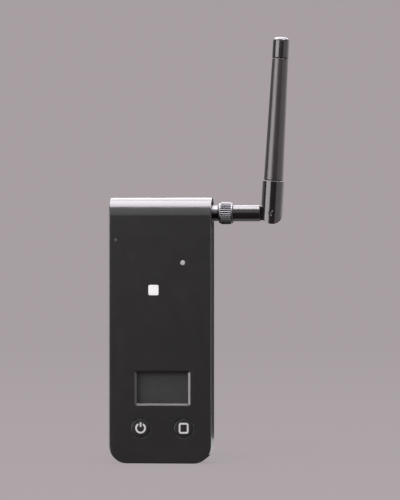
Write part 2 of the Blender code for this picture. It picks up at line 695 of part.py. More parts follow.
# ---- antenna jack ------------------------------------------------------------------------------
def make_antenna_jack():
    """Board-edge coaxial jack: flange and legs inside, collar in the wall, barrel outside."""
    centre = (0, 0, ANTENNA_Z)
    body = block((FLANGE_START, FLANGE_END), (-JACK_R, JACK_R),
                 (ANTENNA_Z - JACK_R, ANTENNA_Z + JACK_R))
    jack = make_object("antenna_jack", body, "gunmetal", (FLANGE_END, 0, ANTENNA_Z))
    root, collar, collar_end = FLANGE_END - 0.0005, FLANGE_END + GAP, NUT_START - GAP
    barrel = turned("X", centre, [(root, 0), (root, JACK_R), (collar, JACK_R),
                                  (collar, JACK_COLLAR_R), (collar_end, JACK_COLLAR_R),
                                  (collar_end, JACK_R), (JACK_END - 0.0004, JACK_R),
                                  (JACK_END, JACK_R - 0.0003), (JACK_END, 0)])
    combine(jack, make_tool("antenna_jack_barrel", barrel), "UNION")
    leg_z, half_leg = 0.0024, 0.0004
    legs = [block((CONTACT_START - 0.0005, FLANGE_START + GAP),
                  sorted((sy * BOARD_BACK, sy * 0.0018)),
                  (ANTENNA_Z + sz * leg_z - half_leg, ANTENNA_Z + sz * leg_z + half_leg))
            for sy in (-1, 1) for sz in (-1, 1)]
    combine(jack, make_tool("antenna_jack_legs", *legs), "UNION")
    bore = rod("X", centre, JACK_BORE_R, FLANGE_START - 0.0005, JACK_END + 0.0005, ROUND_STEPS)
    combine(jack, make_tool("antenna_jack_bore", bore), "DIFFERENCE")
    insulator = tube("X", centre, JACK_BORE_R - GAP, CONTACT_R + GAP, FLANGE_START, 0.0270)
    make_object("jack_insulator", insulator, "insulator_white", (FLANGE_START, 0, ANTENNA_Z))
    tip, well = 0.0273, 0.0246
    contact = turned("X", centre, [(CONTACT_START, 0), (CONTACT_START, 0.0004),
                                   (FLANGE_START, 0.0004), (FLANGE_START, CONTACT_R),
                                   (tip, CONTACT_R), (tip, PIN_R + 0.00015),
                                   (well, PIN_R + 0.00015), (well, 0)], 16)
    make_object("jack_contact", contact, "gold", (CONTACT_START, 0, ANTENNA_Z))


# ---- antenna -----------------------------------------------------------------------------------
def make_coupling_nut(axis):
    """Knurled nut that turns freely on the plug sleeve."""
    start, end = NUT_START, NUT_END
    inner, lip, lip_at = JACK_R + GAP, 0.0027, NUT_END - 0.0013
    collar = NUT_R - 0.0005
    loop = [(start, inner), (start, collar - 0.0004), (start + 0.0004, collar),
            (end - 0.0004, collar), (end, collar - 0.0004), (end, lip), (lip_at, lip),
            (lip_at, inner)]
    nut = make_object("coupling_nut", turned("X", (0, 0, 0), loop, hollow=True), "gunmetal",
                      parent=axis)
    points = []
    for i in range(KNURLS * 2):
        angle = math.pi * i / KNURLS
        radius = NUT_R if i % 2 == 0 else NUT_R - 0.0004
        points.append((radius * math.cos(angle), radius * math.sin(angle)))
    small = [(u * 0.96, v * 0.96) for u, v in points]
    grip = loft("X", [(start + 0.0008, small), (start + 0.0012, points),
                      (end - 0.0012, points), (end - 0.0008, small)])
    band = make_tool("coupling_nut_grip", grip)
    band.parent = axis
    bore = make_tool("coupling_nut_bore",
                     rod("X", (0, 0, 0), collar - 0.0006, start - GAP, end + GAP, ROUND_STEPS))
    bore.parent = axis
    combine(band, bore, "DIFFERENCE")
    combine(nut, band, "UNION")


def make_plug(axis):
    """Sleeve and centre contact of the antenna's plug."""
    start, collar, end = JACK_END + GAP, 0.0320, 0.0360
    bore, narrow, wide = 0.0010, 0.0024, 0.0031
    loop = [(start, bore), (start, wide), (collar, wide), (collar, narrow), (end, narrow),
            (end, bore)]
    make_object("plug_sleeve", turned("X", (0, 0, 0), loop, hollow=True), "gold", parent=axis)
    tip, root = 0.0252, 0.0382
    contact = turned("X", (0, 0, 0), [(tip, 0), (tip + 0.0004, PIN_R), (root, PIN_R),
                                      (root, 0)], 16)
    make_object("plug_contact", contact, "gold", parent=axis)


def make_swivel_base(axis):
    """Moulded barrel with a flat hinge tongue at its outer end."""
    end = PIVOT_X - FOOT_R - GAP
    start = BARREL_START
    profile = [(0.0388, 0), (0.0388, 0.0008), (0.0363, 0.0008), (0.0363, 0.0027),
               (start, 0.0027), (start, BARREL_R - 0.0004), (start + 0.0004, BARREL_R),
               (end - 0.0005, BARREL_R), (end, BARREL_R - 0.0005), (end, 0)]
    barrel = turned("X", (0, 0, 0), profile)
    base = make_object("swivel_base", barrel, "antenna_gloss", parent=axis)
    outline = arc((PIVOT_X, 0.0), TONGUE_R, -90, 90, 12)
    outline += [(end - 0.0010, TONGUE_R), (end - 0.0010, -TONGUE_R)]
    tongue = make_tool("swivel_base_tongue",
                       prism("Y", outline, -TONGUE_T / 2, TONGUE_T / 2))
    bore = rod("Y", (PIVOT_X, 0, 0), HINGE_PIN_R + GAP, -FOOT_R, FOOT_R)
    hole = make_tool("swivel_base_hole", bore)
    for tool in (tongue, hole):
        tool.parent = axis
    combine(base, tongue, "UNION")
    combine(base, hole, "DIFFERENCE")
    half_pin = FOOT_R - 0.0005
    pin = rod("Y", (PIVOT_X, 0, 0), HINGE_PIN_R, -half_pin, half_pin)
    make_object("hinge_pin", pin, "steel", parent=axis)


def make_whip_foot(pivot):
    """Glossy lower section: two cheeks around the tongue, rounded about the pivot."""
    top = FOOT_LENGTH
    low = -FOOT_R - GAP
    profile = [(low, 0), (low, FOOT_R), (top - 0.0006, FOOT_R), (top, FOOT_R - 0.0004), (top, 0)]
    foot = make_object("whip_foot", turned("Z", (0, 0, 0), profile), "antenna_gloss",
                       parent=pivot)
    lower_form = arc((0.0, 0.0), FOOT_R, 192, 348, 14)
    shoulder = lower_form[0][1]
    lower_form += [(2 * FOOT_R, shoulder), (2 * FOOT_R, top + GAP),
                   (-2 * FOOT_R, top + GAP), (-2 * FOOT_R, shoulder)]
    slot_half = TONGUE_T / 2 + GAP
    reach = TONGUE_R + GAP
    tools = [
        ("whip_foot_form", prism("Y", lower_form, -2 * FOOT_R, 2 * FOOT_R), "INTERSECT"),
        ("whip_foot_slot", block((-2 * FOOT_R, reach), (-slot_half, slot_half),
                                 (-2 * FOOT_R, reach)), "DIFFERENCE"),
        ("whip_foot_hole", rod("Y", (0, 0, 0), HINGE_PIN_R + GAP, -2 * FOOT_R, 2 * FOOT_R),
         "DIFFERENCE"),
        ("whip_foot_socket", rod("Z", (0, 0, 0), 0.0033, 0.0087, top + GAP, ROUND_STEPS),
         "DIFFERENCE"),
    ]
    for name, shape, operation in tools:
        tool = make_tool(name, shape)
        tool.parent = pivot
        combine(foot, tool, operation)


def make_whip(pivot):
    """Tapered cover tube with the radiating rod inside and a cap on top."""
    low = FOOT_LENGTH + GAP
    top = WHIP_LENGTH - TIP_LENGTH
    bore = 0.0020
    loop = [(0.0090, bore), (0.0090, 0.0030), (low, 0.0030), (low, WHIP_LOW_R - 0.0003),
            (low + 0.0003, WHIP_LOW_R), (top - 0.0002, WHIP_TOP_R),
            (top, WHIP_TOP_R - 0.0002), (top, bore)]
    make_object("whip_cover", turned("Z", (0, 0, 0), loop, hollow=True), "antenna_satin",
                parent=pivot)
    make_object("radiating_rod", rod("Z", (0, 0, 0), 0.0010, 0.0093, 0.0670, 16), "brass",
                parent=pivot)
    spigot = 0.0017
    tip_r = WHIP_TOP_R + 0.0001
    start = top + GAP
    dome = 0.0020
    rounding = arc((WHIP_LENGTH - dome, tip_r - dome), dome, 90, 0, 6)
    profile = [(top - 0.0035, 0), (top - 0.0035, spigot), (start, spigot), (start, tip_r)]
    profile += rounding + [(WHIP_LENGTH, 0)]
    make_object("whip_cap", turned("Z", (0, 0, 0), profile), "antenna_gloss", parent=pivot)


def main():
    clear_scene()
    outer_side = form_tool("case_side", 0.0)
    cavity = make_cavity()
    ports = make_ports()
    make_front_shell(outer_side, cavity, ports)
    make_rear_shell(outer_side, cavity, ports)
    for index, at in enumerate(CASE_SCREWS, 1):
        make_case_screw(index, at)
    for index, at in enumerate(BOARD_SCREWS, 1):
        make_board_screw(index, at)
    make_window()
    make_window_seal()
    make_display()
    make_display_flex()
    make_lights()
    make_key("power", POWER_AT)
    make_key("mode", MODE_AT)
    make_board()
    make_shield()
    make_chip("processor_chip", (0.004, 0.066), (0.007, 0.007), 0.0010, -1)
    make_chip("audio_chip", (0.002, 0.086), (0.005, 0.005), 0.0009, 1)
    make_chip("crystal", (-0.006, 0.066), (0.0032, 0.0025), 0.0008, -1, "tin_plate")
    make_battery()
    make_usb_socket()
    make_audio_jack()
    make_stand_socket()
    make_antenna_jack()
    antenna_axis = make_empty("antenna_axis", (0, 0, ANTENNA_Z))
    make_coupling_nut(antenna_axis)
    make_plug(antenna_axis)
    make_swivel_base(antenna_axis)
    pivot = make_empty("whip_pivot", (PIVOT_X, 0, 0), antenna_axis, WHIP_LEAN)
    make_whip_foot(pivot)
    make_whip(pivot)


main()
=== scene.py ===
"""Looks for a wireless receiver unit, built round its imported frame.

The case faces -Y, the antenna is on its +X side, and the base stands on z = 0.
Every length is in metres.
"""

import json
import math

import bmesh
import bpy
from mathutils import Matrix, Vector


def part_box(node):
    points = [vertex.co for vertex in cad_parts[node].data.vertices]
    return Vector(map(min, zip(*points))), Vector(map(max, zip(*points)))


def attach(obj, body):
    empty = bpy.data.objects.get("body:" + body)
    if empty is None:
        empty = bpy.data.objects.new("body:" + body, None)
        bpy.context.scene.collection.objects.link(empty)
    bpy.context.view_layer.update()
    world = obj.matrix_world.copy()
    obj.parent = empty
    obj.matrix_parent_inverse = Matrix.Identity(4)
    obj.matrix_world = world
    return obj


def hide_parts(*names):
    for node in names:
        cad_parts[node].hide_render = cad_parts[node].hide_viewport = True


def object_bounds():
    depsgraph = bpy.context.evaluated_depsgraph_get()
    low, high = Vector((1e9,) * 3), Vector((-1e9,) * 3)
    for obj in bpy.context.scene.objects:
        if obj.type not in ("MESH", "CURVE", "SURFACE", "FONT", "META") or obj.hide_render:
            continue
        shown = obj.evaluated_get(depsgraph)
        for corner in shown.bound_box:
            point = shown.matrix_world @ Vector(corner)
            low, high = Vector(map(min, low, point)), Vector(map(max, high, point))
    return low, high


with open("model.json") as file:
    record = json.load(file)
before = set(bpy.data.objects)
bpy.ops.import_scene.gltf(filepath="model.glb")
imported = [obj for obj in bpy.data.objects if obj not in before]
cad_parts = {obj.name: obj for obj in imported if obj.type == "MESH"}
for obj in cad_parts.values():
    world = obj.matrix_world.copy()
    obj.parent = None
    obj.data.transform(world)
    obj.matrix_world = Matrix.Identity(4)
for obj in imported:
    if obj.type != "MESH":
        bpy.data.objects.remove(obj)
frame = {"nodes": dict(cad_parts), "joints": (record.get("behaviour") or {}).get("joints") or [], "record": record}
cad_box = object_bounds()


# ---- what the frame says ---------------------------------------------------------------------
def centre(node):
    low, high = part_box(node)
    return (low + high) / 2


def joint(name):
    return next(j for j in frame["joints"] if j["name"] == name)


MM = 0.001
GAP = 0.3 * MM
WALL = 2.0 * MM
EDGE_R = 0.5 * MM
LIP_R = 0.15 * MM

CASE_LOW, CASE_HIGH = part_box("front_shell")
FACE, TOP, HALF_W = CASE_LOW.y, CASE_HIGH.z, CASE_HIGH.x
SEAM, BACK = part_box("rear_shell")[0].y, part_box("rear_shell")[1].y
TOP_CENTRE_Z = TOP - BACK
FOOT_CORNER_R = 8.5 * MM
BOARD_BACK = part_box("battery_pad")[0].y

PIVOT = Vector(joint("antenna_tilt")["pos_m"])
ANTENNA_Z = PIVOT.z
LEAN = -math.radians(joint("antenna_tilt")["range_deg"][0])
WHIP_FRAME = Matrix.Translation(PIVOT) @ Matrix.Rotation(LEAN, 4, "Y")

JACK_COLLAR_R = 3.7 * MM
BARREL_R = 3.8 * MM

SHARP = math.radians(32)
WELD = 1e-7
ROUND = 96
MEDIUM = 64
SMALL = 48


# ---- shapes ----------------------------------------------------------------------------------
def quarter(steps):
    """Angles over a quarter turn, both ends included."""
    return [math.pi / 2 * i / steps for i in range(steps + 1)]


def arc(at, radius, start, end, steps):
    """Points along an arc in degrees, both ends included."""
    angles = [math.radians(start + (end - start) * i / steps) for i in range(steps + 1)]
    return [(at[0] + radius * math.cos(a), at[1] + radius * math.sin(a)) for a in angles]


def rounded_rect(width, height, radius, at=(0.0, 0.0), steps=8):
    dx, dy = width / 2 - radius, height / 2 - radius
    corners = [(1, 1, 0), (-1, 1, 90), (-1, -1, 180), (1, -1, 270)]
    points = []
    for sx, sy, start in corners:
        points += arc((at[0] + sx * dx, at[1] + sy * dy), radius, start, start + 90, steps)
    return points


def along(axis, u, v, w):
    return {"X": (w, u, v), "Y": (u, w, v), "Z": (u, v, w)}[axis]


def bridge(bm, loops):
    """Faces between each loop of points and the next."""
    for near, far in zip(loops, loops[1:]):
        for i in range(len(near)):
            j = (i + 1) % len(near)
            bm.faces.new((near[i], near[j], far[j], far[i]))


def loft(axis, rings):
    """Closed solid through (distance, outline) rings with equal numbers of points."""
    bm = bmesh.new()
    loops = [[bm.verts.new(along(axis, u, v, w)) for u, v in outline] for w, outline in rings]
    bridge(bm, loops)
    bm.faces.new(loops[0])
    bm.faces.new(loops[-1])
    bmesh.ops.recalc_face_normals(bm, faces=bm.faces)
    return bm


def prism(axis, outline, start, end):
    return loft(axis, [(start, outline), (end, outline)])


def block(x, y, z):
    outline = [(x[0], z[0]), (x[1], z[0]), (x[1], z[1]), (x[0], z[1])]
    return prism("Y", outline, y[0], y[1])


TURN = {"X": Matrix.Rotation(math.pi / 2, 4, "Y"), "Y": Matrix.Rotation(-math.pi / 2, 4, "X"),
        "Z": Matrix.Identity(4)}


def lathe(axis, at, profile, steps=ROUND, hollow=False, radius_at=None):
    """Solid of revolution from (distance, radius) points along an axis.

    A hollow profile is a closed loop. radius_at(distance, radius, angle) shapes knurls and
    threads.
    """
    bm = bmesh.new()
    rings = []
    for distance, radius in profile:
        if radius == 0:
            rings.append([bm.verts.new((0, 0, distance))])
            continue
        ring = []
        for i in range(steps):
            angle = 2 * math.pi * i / steps
            r = radius_at(distance, radius, angle) if radius_at else radius
            ring.append(bm.verts.new((r * math.cos(angle), r * math.sin(angle), distance)))
        rings.append(ring)
    if hollow:
        rings.append(rings[0])
    for a, b in zip(rings, rings[1:]):
        for i in range(steps):
            j = (i + 1) % steps
            corners = [a[i % len(a)], a[j % len(a)], b[j % len(b)], b[i % len(b)]]
            kept = [v for k, v in enumerate(corners) if v not in corners[:k]]
            if len(kept) > 2:
                bm.faces.new(kept)
    bmesh.ops.transform(bm, matrix=Matrix.Translation(at) @ TURN[axis], verts=bm.verts)
    bmesh.ops.recalc_face_normals(bm, faces=bm.faces)
    return bm


def rod(axis, at, radius, start, end, steps=ROUND):
    return lathe(axis, at, [(start, 0), (start, radius), (end, radius), (end, 0)], steps)


def rounded_end(distance, radius, rounding, towards, steps=4):
    """Profile points of a quarter-round edge: towards is +1 at a far end, -1 at a near end."""
    points = [(distance - towards * rounding * (1 - math.sin(a)),
               radius - rounding * (1 - math.cos(a))) for a in quarter(steps)]
    return points if towards > 0 else points[::-1]


def flared_hole(axis, at, radius, inside, surface, lip=LIP_R, steps=ROUND):
    """Cutter for a round hole whose rim is softly rounded where it meets the surface."""
    way = 1 if surface > inside else -1
    profile = [(inside, 0), (inside, radius)]
    profile += [(surface - way * lip * (1 - math.sin(a)), radius + lip * (1 - math.cos(a)))
                for a in quarter(4)]
    profile += [(surface + way * WALL, radius + lip), (surface + way * WALL, 0)]
    return lathe(axis, at, profile, steps)


def flared_slot(axis, outline_at, inside, surface, lip=LIP_R):
    """The same for a hole of any outline. outline_at(grow) gives its outline."""
    way = 1 if surface > inside else -1
    rings = [(inside, outline_at(0.0))]
    rings += [(surface - way * lip * (1 - math.sin(a)), outline_at(lip * (1 - math.cos(a))))
              for a in quarter(4)]
    rings.append((surface + way * WALL, outline_at(lip)))
    return loft(axis, rings)


# ---- objects ---------------------------------------------------------------------------------
def new_object(name, bm, matrix=None):
    if matrix is not None:
        bmesh.ops.transform(bm, matrix=matrix, verts=bm.verts)
    mesh = bpy.data.meshes.new(name)
    bm.to_mesh(mesh)
    bm.free()
    obj = bpy.data.objects.new(name, mesh)
    bpy.context.scene.collection.objects.link(obj)
    return obj


def apply_modifiers(obj):
    depsgraph = bpy.context.evaluated_depsgraph_get()
    mesh = bpy.data.meshes.new_from_object(obj.evaluated_get(depsgraph))
    old = obj.data
    obj.modifiers.clear()
    obj.data = mesh
    bpy.data.meshes.remove(old)


def gathered(shapes):
    """One shape of several that don't touch each other."""
    whole = bmesh.new()
    for shape in shapes:
        loose = bpy.data.meshes.new("loose")
        shape.to_mesh(loose)
        shape.free()
        whole.from_mesh(loose)
        bpy.data.meshes.remove(loose)
    return whole


def combine(obj, operation, *shapes):
    """Cut, join or intersect with shapes that don't touch each other."""
    tool = new_object("tool", gathered(shapes))
    modifier = obj.modifiers.new("combine", "BOOLEAN")
    modifier.operation = operation
    modifier.solver = "EXACT"
    modifier.object = tool
    apply_modifiers(obj)
    bpy.data.objects.remove(tool, do_unlink=True)


def round_edges(obj, width, segments, angle=SHARP):
    modifier = obj.modifiers.new("edges", "BEVEL")
    modifier.width = width
    modifier.segments = segments
    modifier.limit_method = "ANGLE"
    modifier.angle_limit = angle
    apply_modifiers(obj)


def install(obj, material, body, slot, *nodes):
    """Shade a piece, paint it, and hand it to its body in place of its CAD nodes."""
    bm = bmesh.new()
    bm.from_mesh(obj.data)
    bmesh.ops.remove_doubles(bm, verts=bm.verts, dist=WELD)
    bmesh.ops.dissolve_degenerate(bm, edges=bm.edges, dist=WELD)
    bm.to_mesh(obj.data)
    bm.free()
    obj.data.shade_smooth()
    obj.data.set_sharp_from_angle(angle=SHARP)
    weigh = obj.modifiers.new("flat_faces_stay_flat", "WEIGHTED_NORMAL")
    weigh.keep_sharp = True
    obj.data.materials.clear()
    obj.data.materials.append(material)
    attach(obj, body)
    if nodes:
        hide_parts(*nodes)


# ---- materials -------------------------------------------------------------------------------
class Paint:
    """A Principled material whose colour, roughness and normal follow the piece's own space."""

    def __init__(self, name, roughness, metallic=0.0, specular=0.5):
        self.material = bpy.data.materials.new(name)
        self.material.use_nodes = True
        self.nodes = self.material.node_tree.nodes
        self.links = self.material.node_tree.links
        self.shader = self.nodes["Principled BSDF"]
        self.shader.inputs["Roughness"].default_value = roughness
        self.shader.inputs["Metallic"].default_value = metallic
        self.shader.inputs["Specular IOR Level"].default_value = specular
        self.shader.inputs["IOR"].default_value = 1.5
        self.where = self.nodes.new("ShaderNodeTexCoord").outputs["Object"]

    def feed(self, socket, value):
        """Link another node's output to a socket, or set it to a constant."""
        if isinstance(value, bpy.types.NodeSocket):
            self.links.new(value, socket)
        elif socket.type == "RGBA":
            socket.default_value = (*value, 1.0)
        else:
            socket.default_value = value

    def node(self, kind, **sockets):
        node = self.nodes.new(kind)
        for name, value in sockets.items():
            self.feed(node.inputs[name.replace("_", " ")], value)
        return node

    def stretched(self, scale):
        node = self.node("ShaderNodeMapping", Vector=self.where)
        node.inputs["Scale"].default_value = scale
        return node.outputs["Vector"]

    def noise(self, size, detail=2.0, rough=0.5, where=None):
        """Noise whose features are about size across, 0 to 1."""
        return self.node("ShaderNodeTexNoise", Vector=where or self.where, Scale=1 / size,
                         Detail=detail, Roughness=rough).outputs["Fac"]

    def remap(self, value, low, high, to_low, to_high):
        node = self.node("ShaderNodeMapRange", Value=value, From_Min=low, From_Max=high,
                         To_Min=to_low, To_Max=to_high)
        return node.outputs["Result"]

    def math(self, operation, a, b):
        node = self.nodes.new("ShaderNodeMath")
        node.operation = operation
        for socket, value in zip(node.inputs, (a, b)):
            self.feed(socket, value)
        return node.outputs["Value"]

    def blend(self, factor, a, b):
        """Colour a to colour b by factor."""
        node = self.nodes.new("ShaderNodeMix")
        node.data_type = "RGBA"
        colour_a, colour_b = [s for s in node.inputs if s.type == "RGBA"]
        for socket, value in ((node.inputs[0], factor), (colour_a, a), (colour_b, b)):
            self.feed(socket, value)
        return next(s for s in node.outputs if s.type == "RGBA")

    def colour(self, a, b, factor):
        self.links.new(self.blend(factor, a, b), self.shader.inputs["Base Color"])

    def rough(self, value, low, high):
        self.links.new(self.remap(value, 0.3, 0.7, low, high), self.shader.inputs["Roughness"])

    def bump(self, value, depth):
        node = self.node("ShaderNodeBump", Height=value, Distance=depth, Strength=1.0)
        self.links.new(node.outputs["Normal"], self.shader.inputs["Normal"])

    def spread(self, value):
        """The middle of a noise's range, stretched to 0 to 1."""
        return self.remap(value, 0.35, 0.65, 0.0, 1.0)


def scaled(colour, amount):
    return tuple(min(c * amount, 1.0) for c in colour)


def plastic(name, colour, roughness, vary=0.18, grain=(0.35 * MM, 2e-6), smudge=0.25):
    """Moulded plastic: slight flow shading, fine grain, faint handling smudges on the gloss."""
    paint = Paint(name, roughness)
    flow = paint.noise(14 * MM, 3.0)
    fleck = paint.noise(1.1 * MM, 4.0, 0.6)
    mixed = paint.math("ADD", paint.math("MULTIPLY", flow, 0.6), paint.math("MULTIPLY", fleck, 0.4))
    paint.colour(scaled(colour, 1 - vary), scaled(colour, 1 + vary), paint.spread(mixed))
    rub = paint.noise(5 * MM, 5.0, 0.65)
    paint.rough(rub, roughness * (1 - smudge), roughness * (1 + smudge))
    paint.bump(paint.noise(grain[0], 2.0), grain[1])
    return paint.material


def metal(name, colour, roughness, brushed=(1, 1, 1), vary=0.12, depth=1.5e-6):
    """Machined or plated metal: fine tool marks and a little tarnish."""
    paint = Paint(name, roughness, metallic=1.0)
    tarnish = paint.noise(2.5 * MM, 4.0, 0.6)
    paint.colour(scaled(colour, 1 - vary), scaled(colour, 1 + vary), paint.spread(tarnish))
    marks = paint.noise(0.25 * MM, 3.0, 0.6, paint.stretched(brushed))
    paint.rough(marks, roughness * 0.75, roughness * 1.3)
    paint.bump(marks, depth)
    return paint.material


def board_material():
    """Solder mask over a weave, with paler copper pours and tracks."""
    paint = Paint("board_green", 0.38)
    tracks = paint.node("ShaderNodeTexBrick", Vector=paint.stretched((1, 0, 1)), Scale=1.0,
                        Mortar_Size=0.12 * MM, Brick_Width=2.6 * MM, Row_Height=0.9 * MM)
    pours = paint.node("ShaderNodeTexVoronoi", Vector=paint.where, Scale=1 / (9 * MM))
    weave = paint.noise(0.4 * MM, 2.0)
    tint = paint.math("MULTIPLY", paint.remap(pours.outputs["Distance"], 0.2, 0.5, 0.0, 0.6),
                      tracks.outputs["Fac"])
    paint.colour((0.012, 0.085, 0.035), (0.03, 0.19, 0.08), tint)
    paint.rough(weave, 0.3, 0.46)
    paint.bump(weave, 8e-6)
    return paint.material


def foam_material():
    paint = Paint("foam_black", 0.92)
    cells = paint.node("ShaderNodeTexVoronoi", Vector=paint.where, Scale=1 / (0.35 * MM))
    paint.colour((0.018, 0.018, 0.019), (0.06, 0.06, 0.062), cells.outputs["Distance"])
    paint.rough(cells.outputs["Distance"], 0.85, 0.98)
    paint.bump(cells.outputs["Distance"], 6e-5)
    return paint.material


def glass_material():
    """Smoked window: mostly tint, with a soft sheen of fingerprints."""
    paint = Paint("window_smoke", 0.08)
    paint.shader.inputs["Alpha"].default_value = 0.28
    print_marks = paint.noise(2.2 * MM, 5.0, 0.6)
    paint.colour((0.030, 0.030, 0.032), (0.044, 0.044, 0.046), print_marks)
    paint.rough(print_marks, 0.05, 0.16)
    paint.bump(paint.noise(0.8 * MM, 2.0), 1e-6)
    return paint.material


def display_material():
    """Unlit panel: cool grey with a faint pixel grid and slight mottling."""
    paint = Paint("display_grey", 0.42)
    cloud = paint.noise(3.5 * MM, 4.0, 0.6)
    cells = paint.node("ShaderNodeTexBrick", Vector=paint.stretched((1, 0, 1)), Scale=1.0,
                       Mortar_Size=0.03 * MM, Brick_Width=0.3 * MM, Row_Height=0.3 * MM)
    cells.offset = 0.0
    grid = paint.math("MULTIPLY", cells.outputs["Fac"], 0.35)
    base = paint.blend(paint.spread(cloud), (0.185, 0.189, 0.186), (0.225, 0.229, 0.226))
    paint.colour(base, (0.12, 0.12, 0.12), grid)
    paint.rough(cloud, 0.36, 0.5)
    paint.bump(cells.outputs["Fac"], 2e-6)
    return paint.material


def lens_material(name, colour, glow):
    """Diffusing lens over its light."""
    paint = Paint(name, 0.3)
    grain = paint.noise(0.25 * MM, 3.0)
    paint.colour(scaled(colour, 0.92), colour, grain)
    paint.rough(grain, 0.24, 0.4)
    paint.bump(grain, 4e-6)
    paint.shader.inputs["Emission Color"].default_value = (1.0, 1.0, 0.99, 1.0)
    paint.shader.inputs["Emission Strength"].default_value = glow
    return paint.material


MATERIALS = {
    "case_black": plastic("case_black", (0.0300, 0.0292, 0.0294), 0.24, 0.07,
                          (0.5 * MM, 1e-6), 0.08),
    "key_black": plastic("key_black", (0.024, 0.024, 0.0243), 0.27, 0.07, smudge=0.08),
    "window_smoke": glass_material(),
    "display_grey": display_material(),
    "lens_white": lens_material("lens_white", (0.90, 0.90, 0.89), 0.34),
    "lens_grey": lens_material("lens_grey", (0.68, 0.68, 0.68), 0.0),
    "led_cream": plastic("led_cream", (0.85, 0.80, 0.62), 0.4, 0.05),
    "switch_black": plastic("switch_black", (0.03, 0.03, 0.03), 0.45),
    "plunger_brown": plastic("plunger_brown", (0.16, 0.09, 0.05), 0.45),
    "board_green": board_material(),
    "chip_black": plastic("chip_black", (0.03, 0.03, 0.03), 0.55, grain=(0.1 * MM, 6e-6)),
    "tin_plate": metal("tin_plate", (0.62, 0.62, 0.60), 0.34, (1, 1, 12)),
    "battery_silver": metal("battery_silver", (0.55, 0.56, 0.58), 0.42, (6, 1, 1), depth=6e-6),
    "foam_black": foam_material(),
    "flex_amber": plastic("flex_amber", (0.45, 0.20, 0.04), 0.35, 0.12),
    "lead_red": plastic("lead_red", (0.50, 0.03, 0.03), 0.45, 0.08),
    "socket_ivory": plastic("socket_ivory", (0.75, 0.72, 0.62), 0.45, 0.05),
    "steel": metal("steel", (0.22, 0.22, 0.23), 0.34),
    "brass": metal("brass", (0.66, 0.47, 0.20), 0.32, (1, 1, 10)),
    "gold": metal("gold", (0.85, 0.62, 0.25), 0.24),
    "gunmetal": metal("gunmetal", (0.085, 0.083, 0.086), 0.34, (10, 1, 1)),
    "insulator_white": plastic("insulator_white", (0.85, 0.85, 0.85), 0.45, 0.04),
    "antenna_gloss": plastic("antenna_gloss", (0.022, 0.018, 0.020), 0.17, 0.08,
                             (0.5 * MM, 1e-6), 0.1),
    "antenna_satin": plastic("antenna_satin", (0.028, 0.020, 0.0235), 0.32, 0.08,
                             (0.3 * MM, 3e-6), 0.1),
    "print_white": plastic("print_white", (0.80, 0.80, 0.80), 0.5, 0.05),
    "nut_satin": metal("nut_satin", (0.105, 0.105, 0.108), 0.50, (8, 1, 1)),
    "pin_black": plastic("pin_black", (0.020, 0.018, 0.019), 0.45),
    "lens_smoke": lens_material("lens_smoke", (0.10, 0.10, 0.10), 0.0),
}


# ---- case ------------------------------------------------------------------------------------
def spot(node):
    """Where a node stands on the face, seen from the front."""
    return centre(node).x, centre(node).z


SCREW_NAMES = [f"case_screw_{i}" for i in (1, 2, 3, 4)]
SCREW_SPOTS = [spot(name) for name in SCREW_NAMES]
BOARD_SCREW_SPOTS = [spot(name) for name in ("board_screw_1", "board_screw_2")]
POST_R = 2.4 * MM
SHANK_R = 1.0 * MM
HEAD_R = 1.9 * MM
HEAD_H = 1.4 * MM
COUNTERBORE = 2.4 * MM
PILOT_FLOOR = FACE + 2.4 * MM
RIB = 1.2 * MM
SEAM_EDGE_R = 0.12 * MM
TONGUE_T = 0.26 * MM
USB_HOLE = (3.7 * MM, 9.4 * MM, 1.7 * MM)
AUDIO_HOLE_R = 2.7 * MM
STAND_HOLE_R = 5.3 * MM


def case_outline(inset):
    half = HALF_W - inset
    radius = FOOT_CORNER_R - inset
    top = TOP + WALL
    right = arc((half - radius, inset + radius), radius, -90, 0, 20)
    left = arc((-half + radius, inset + radius), radius, 180, 270, 20)
    return left + right + [(half, top), (-half, top)]


def side_outline(inset):
    half = BACK - inset
    return [(half, -WALL)] + arc((0.0, TOP_CENTRE_Z), half, 0, 180, 72) + [(-half, -WALL)]


def case_half(name, side):
    """One moulded half with its outer edges and its seam edge rounded, then hollowed."""
    reach = (-2 * HALF_W, 2 * HALF_W)
    half = new_object(name, prism("Y", case_outline(0.0), 2 * FACE, 2 * BACK))
    combine(half, "INTERSECT", prism("X", side_outline(0.0), *reach))
    round_edges(half, EDGE_R, 5)
    away = sorted((side * 2 * FACE, side * SEAM))
    combine(half, "DIFFERENCE", block(reach, away, (-WALL, TOP + WALL)))
    round_edges(half, SEAM_EDGE_R, 3, math.radians(60))
    combine(half, "DIFFERENCE", case_form(WALL, 2 * FACE, 2 * BACK))
    combine(half, "DIFFERENCE", *port_cutters())
    return half


def case_form(inset, front, back):
    """The case's shape, inset from its surface and cut off at the given depths."""
    form = new_object("form", prism("Y", case_outline(inset), front, back))
    combine(form, "INTERSECT", prism("X", side_outline(inset), -2 * HALF_W, 2 * HALF_W))
    shape = bmesh.new()
    shape.from_mesh(form.data)
    bpy.data.objects.remove(form, do_unlink=True)
    return shape


def make_seam_tongue():
    """Thin tongue of the moulding that closes the seam between the halves."""
    tongue = new_object("seam_tongue", case_form(0.5 * MM, -TONGUE_T / 2, TONGUE_T / 2))
    combine(tongue, "DIFFERENCE", case_form(WALL - 0.1 * MM, 2 * FACE, 2 * BACK))
    combine(tongue, "DIFFERENCE", *port_cutters())
    install(tongue, MATERIALS["case_black"], "case", "case_black")


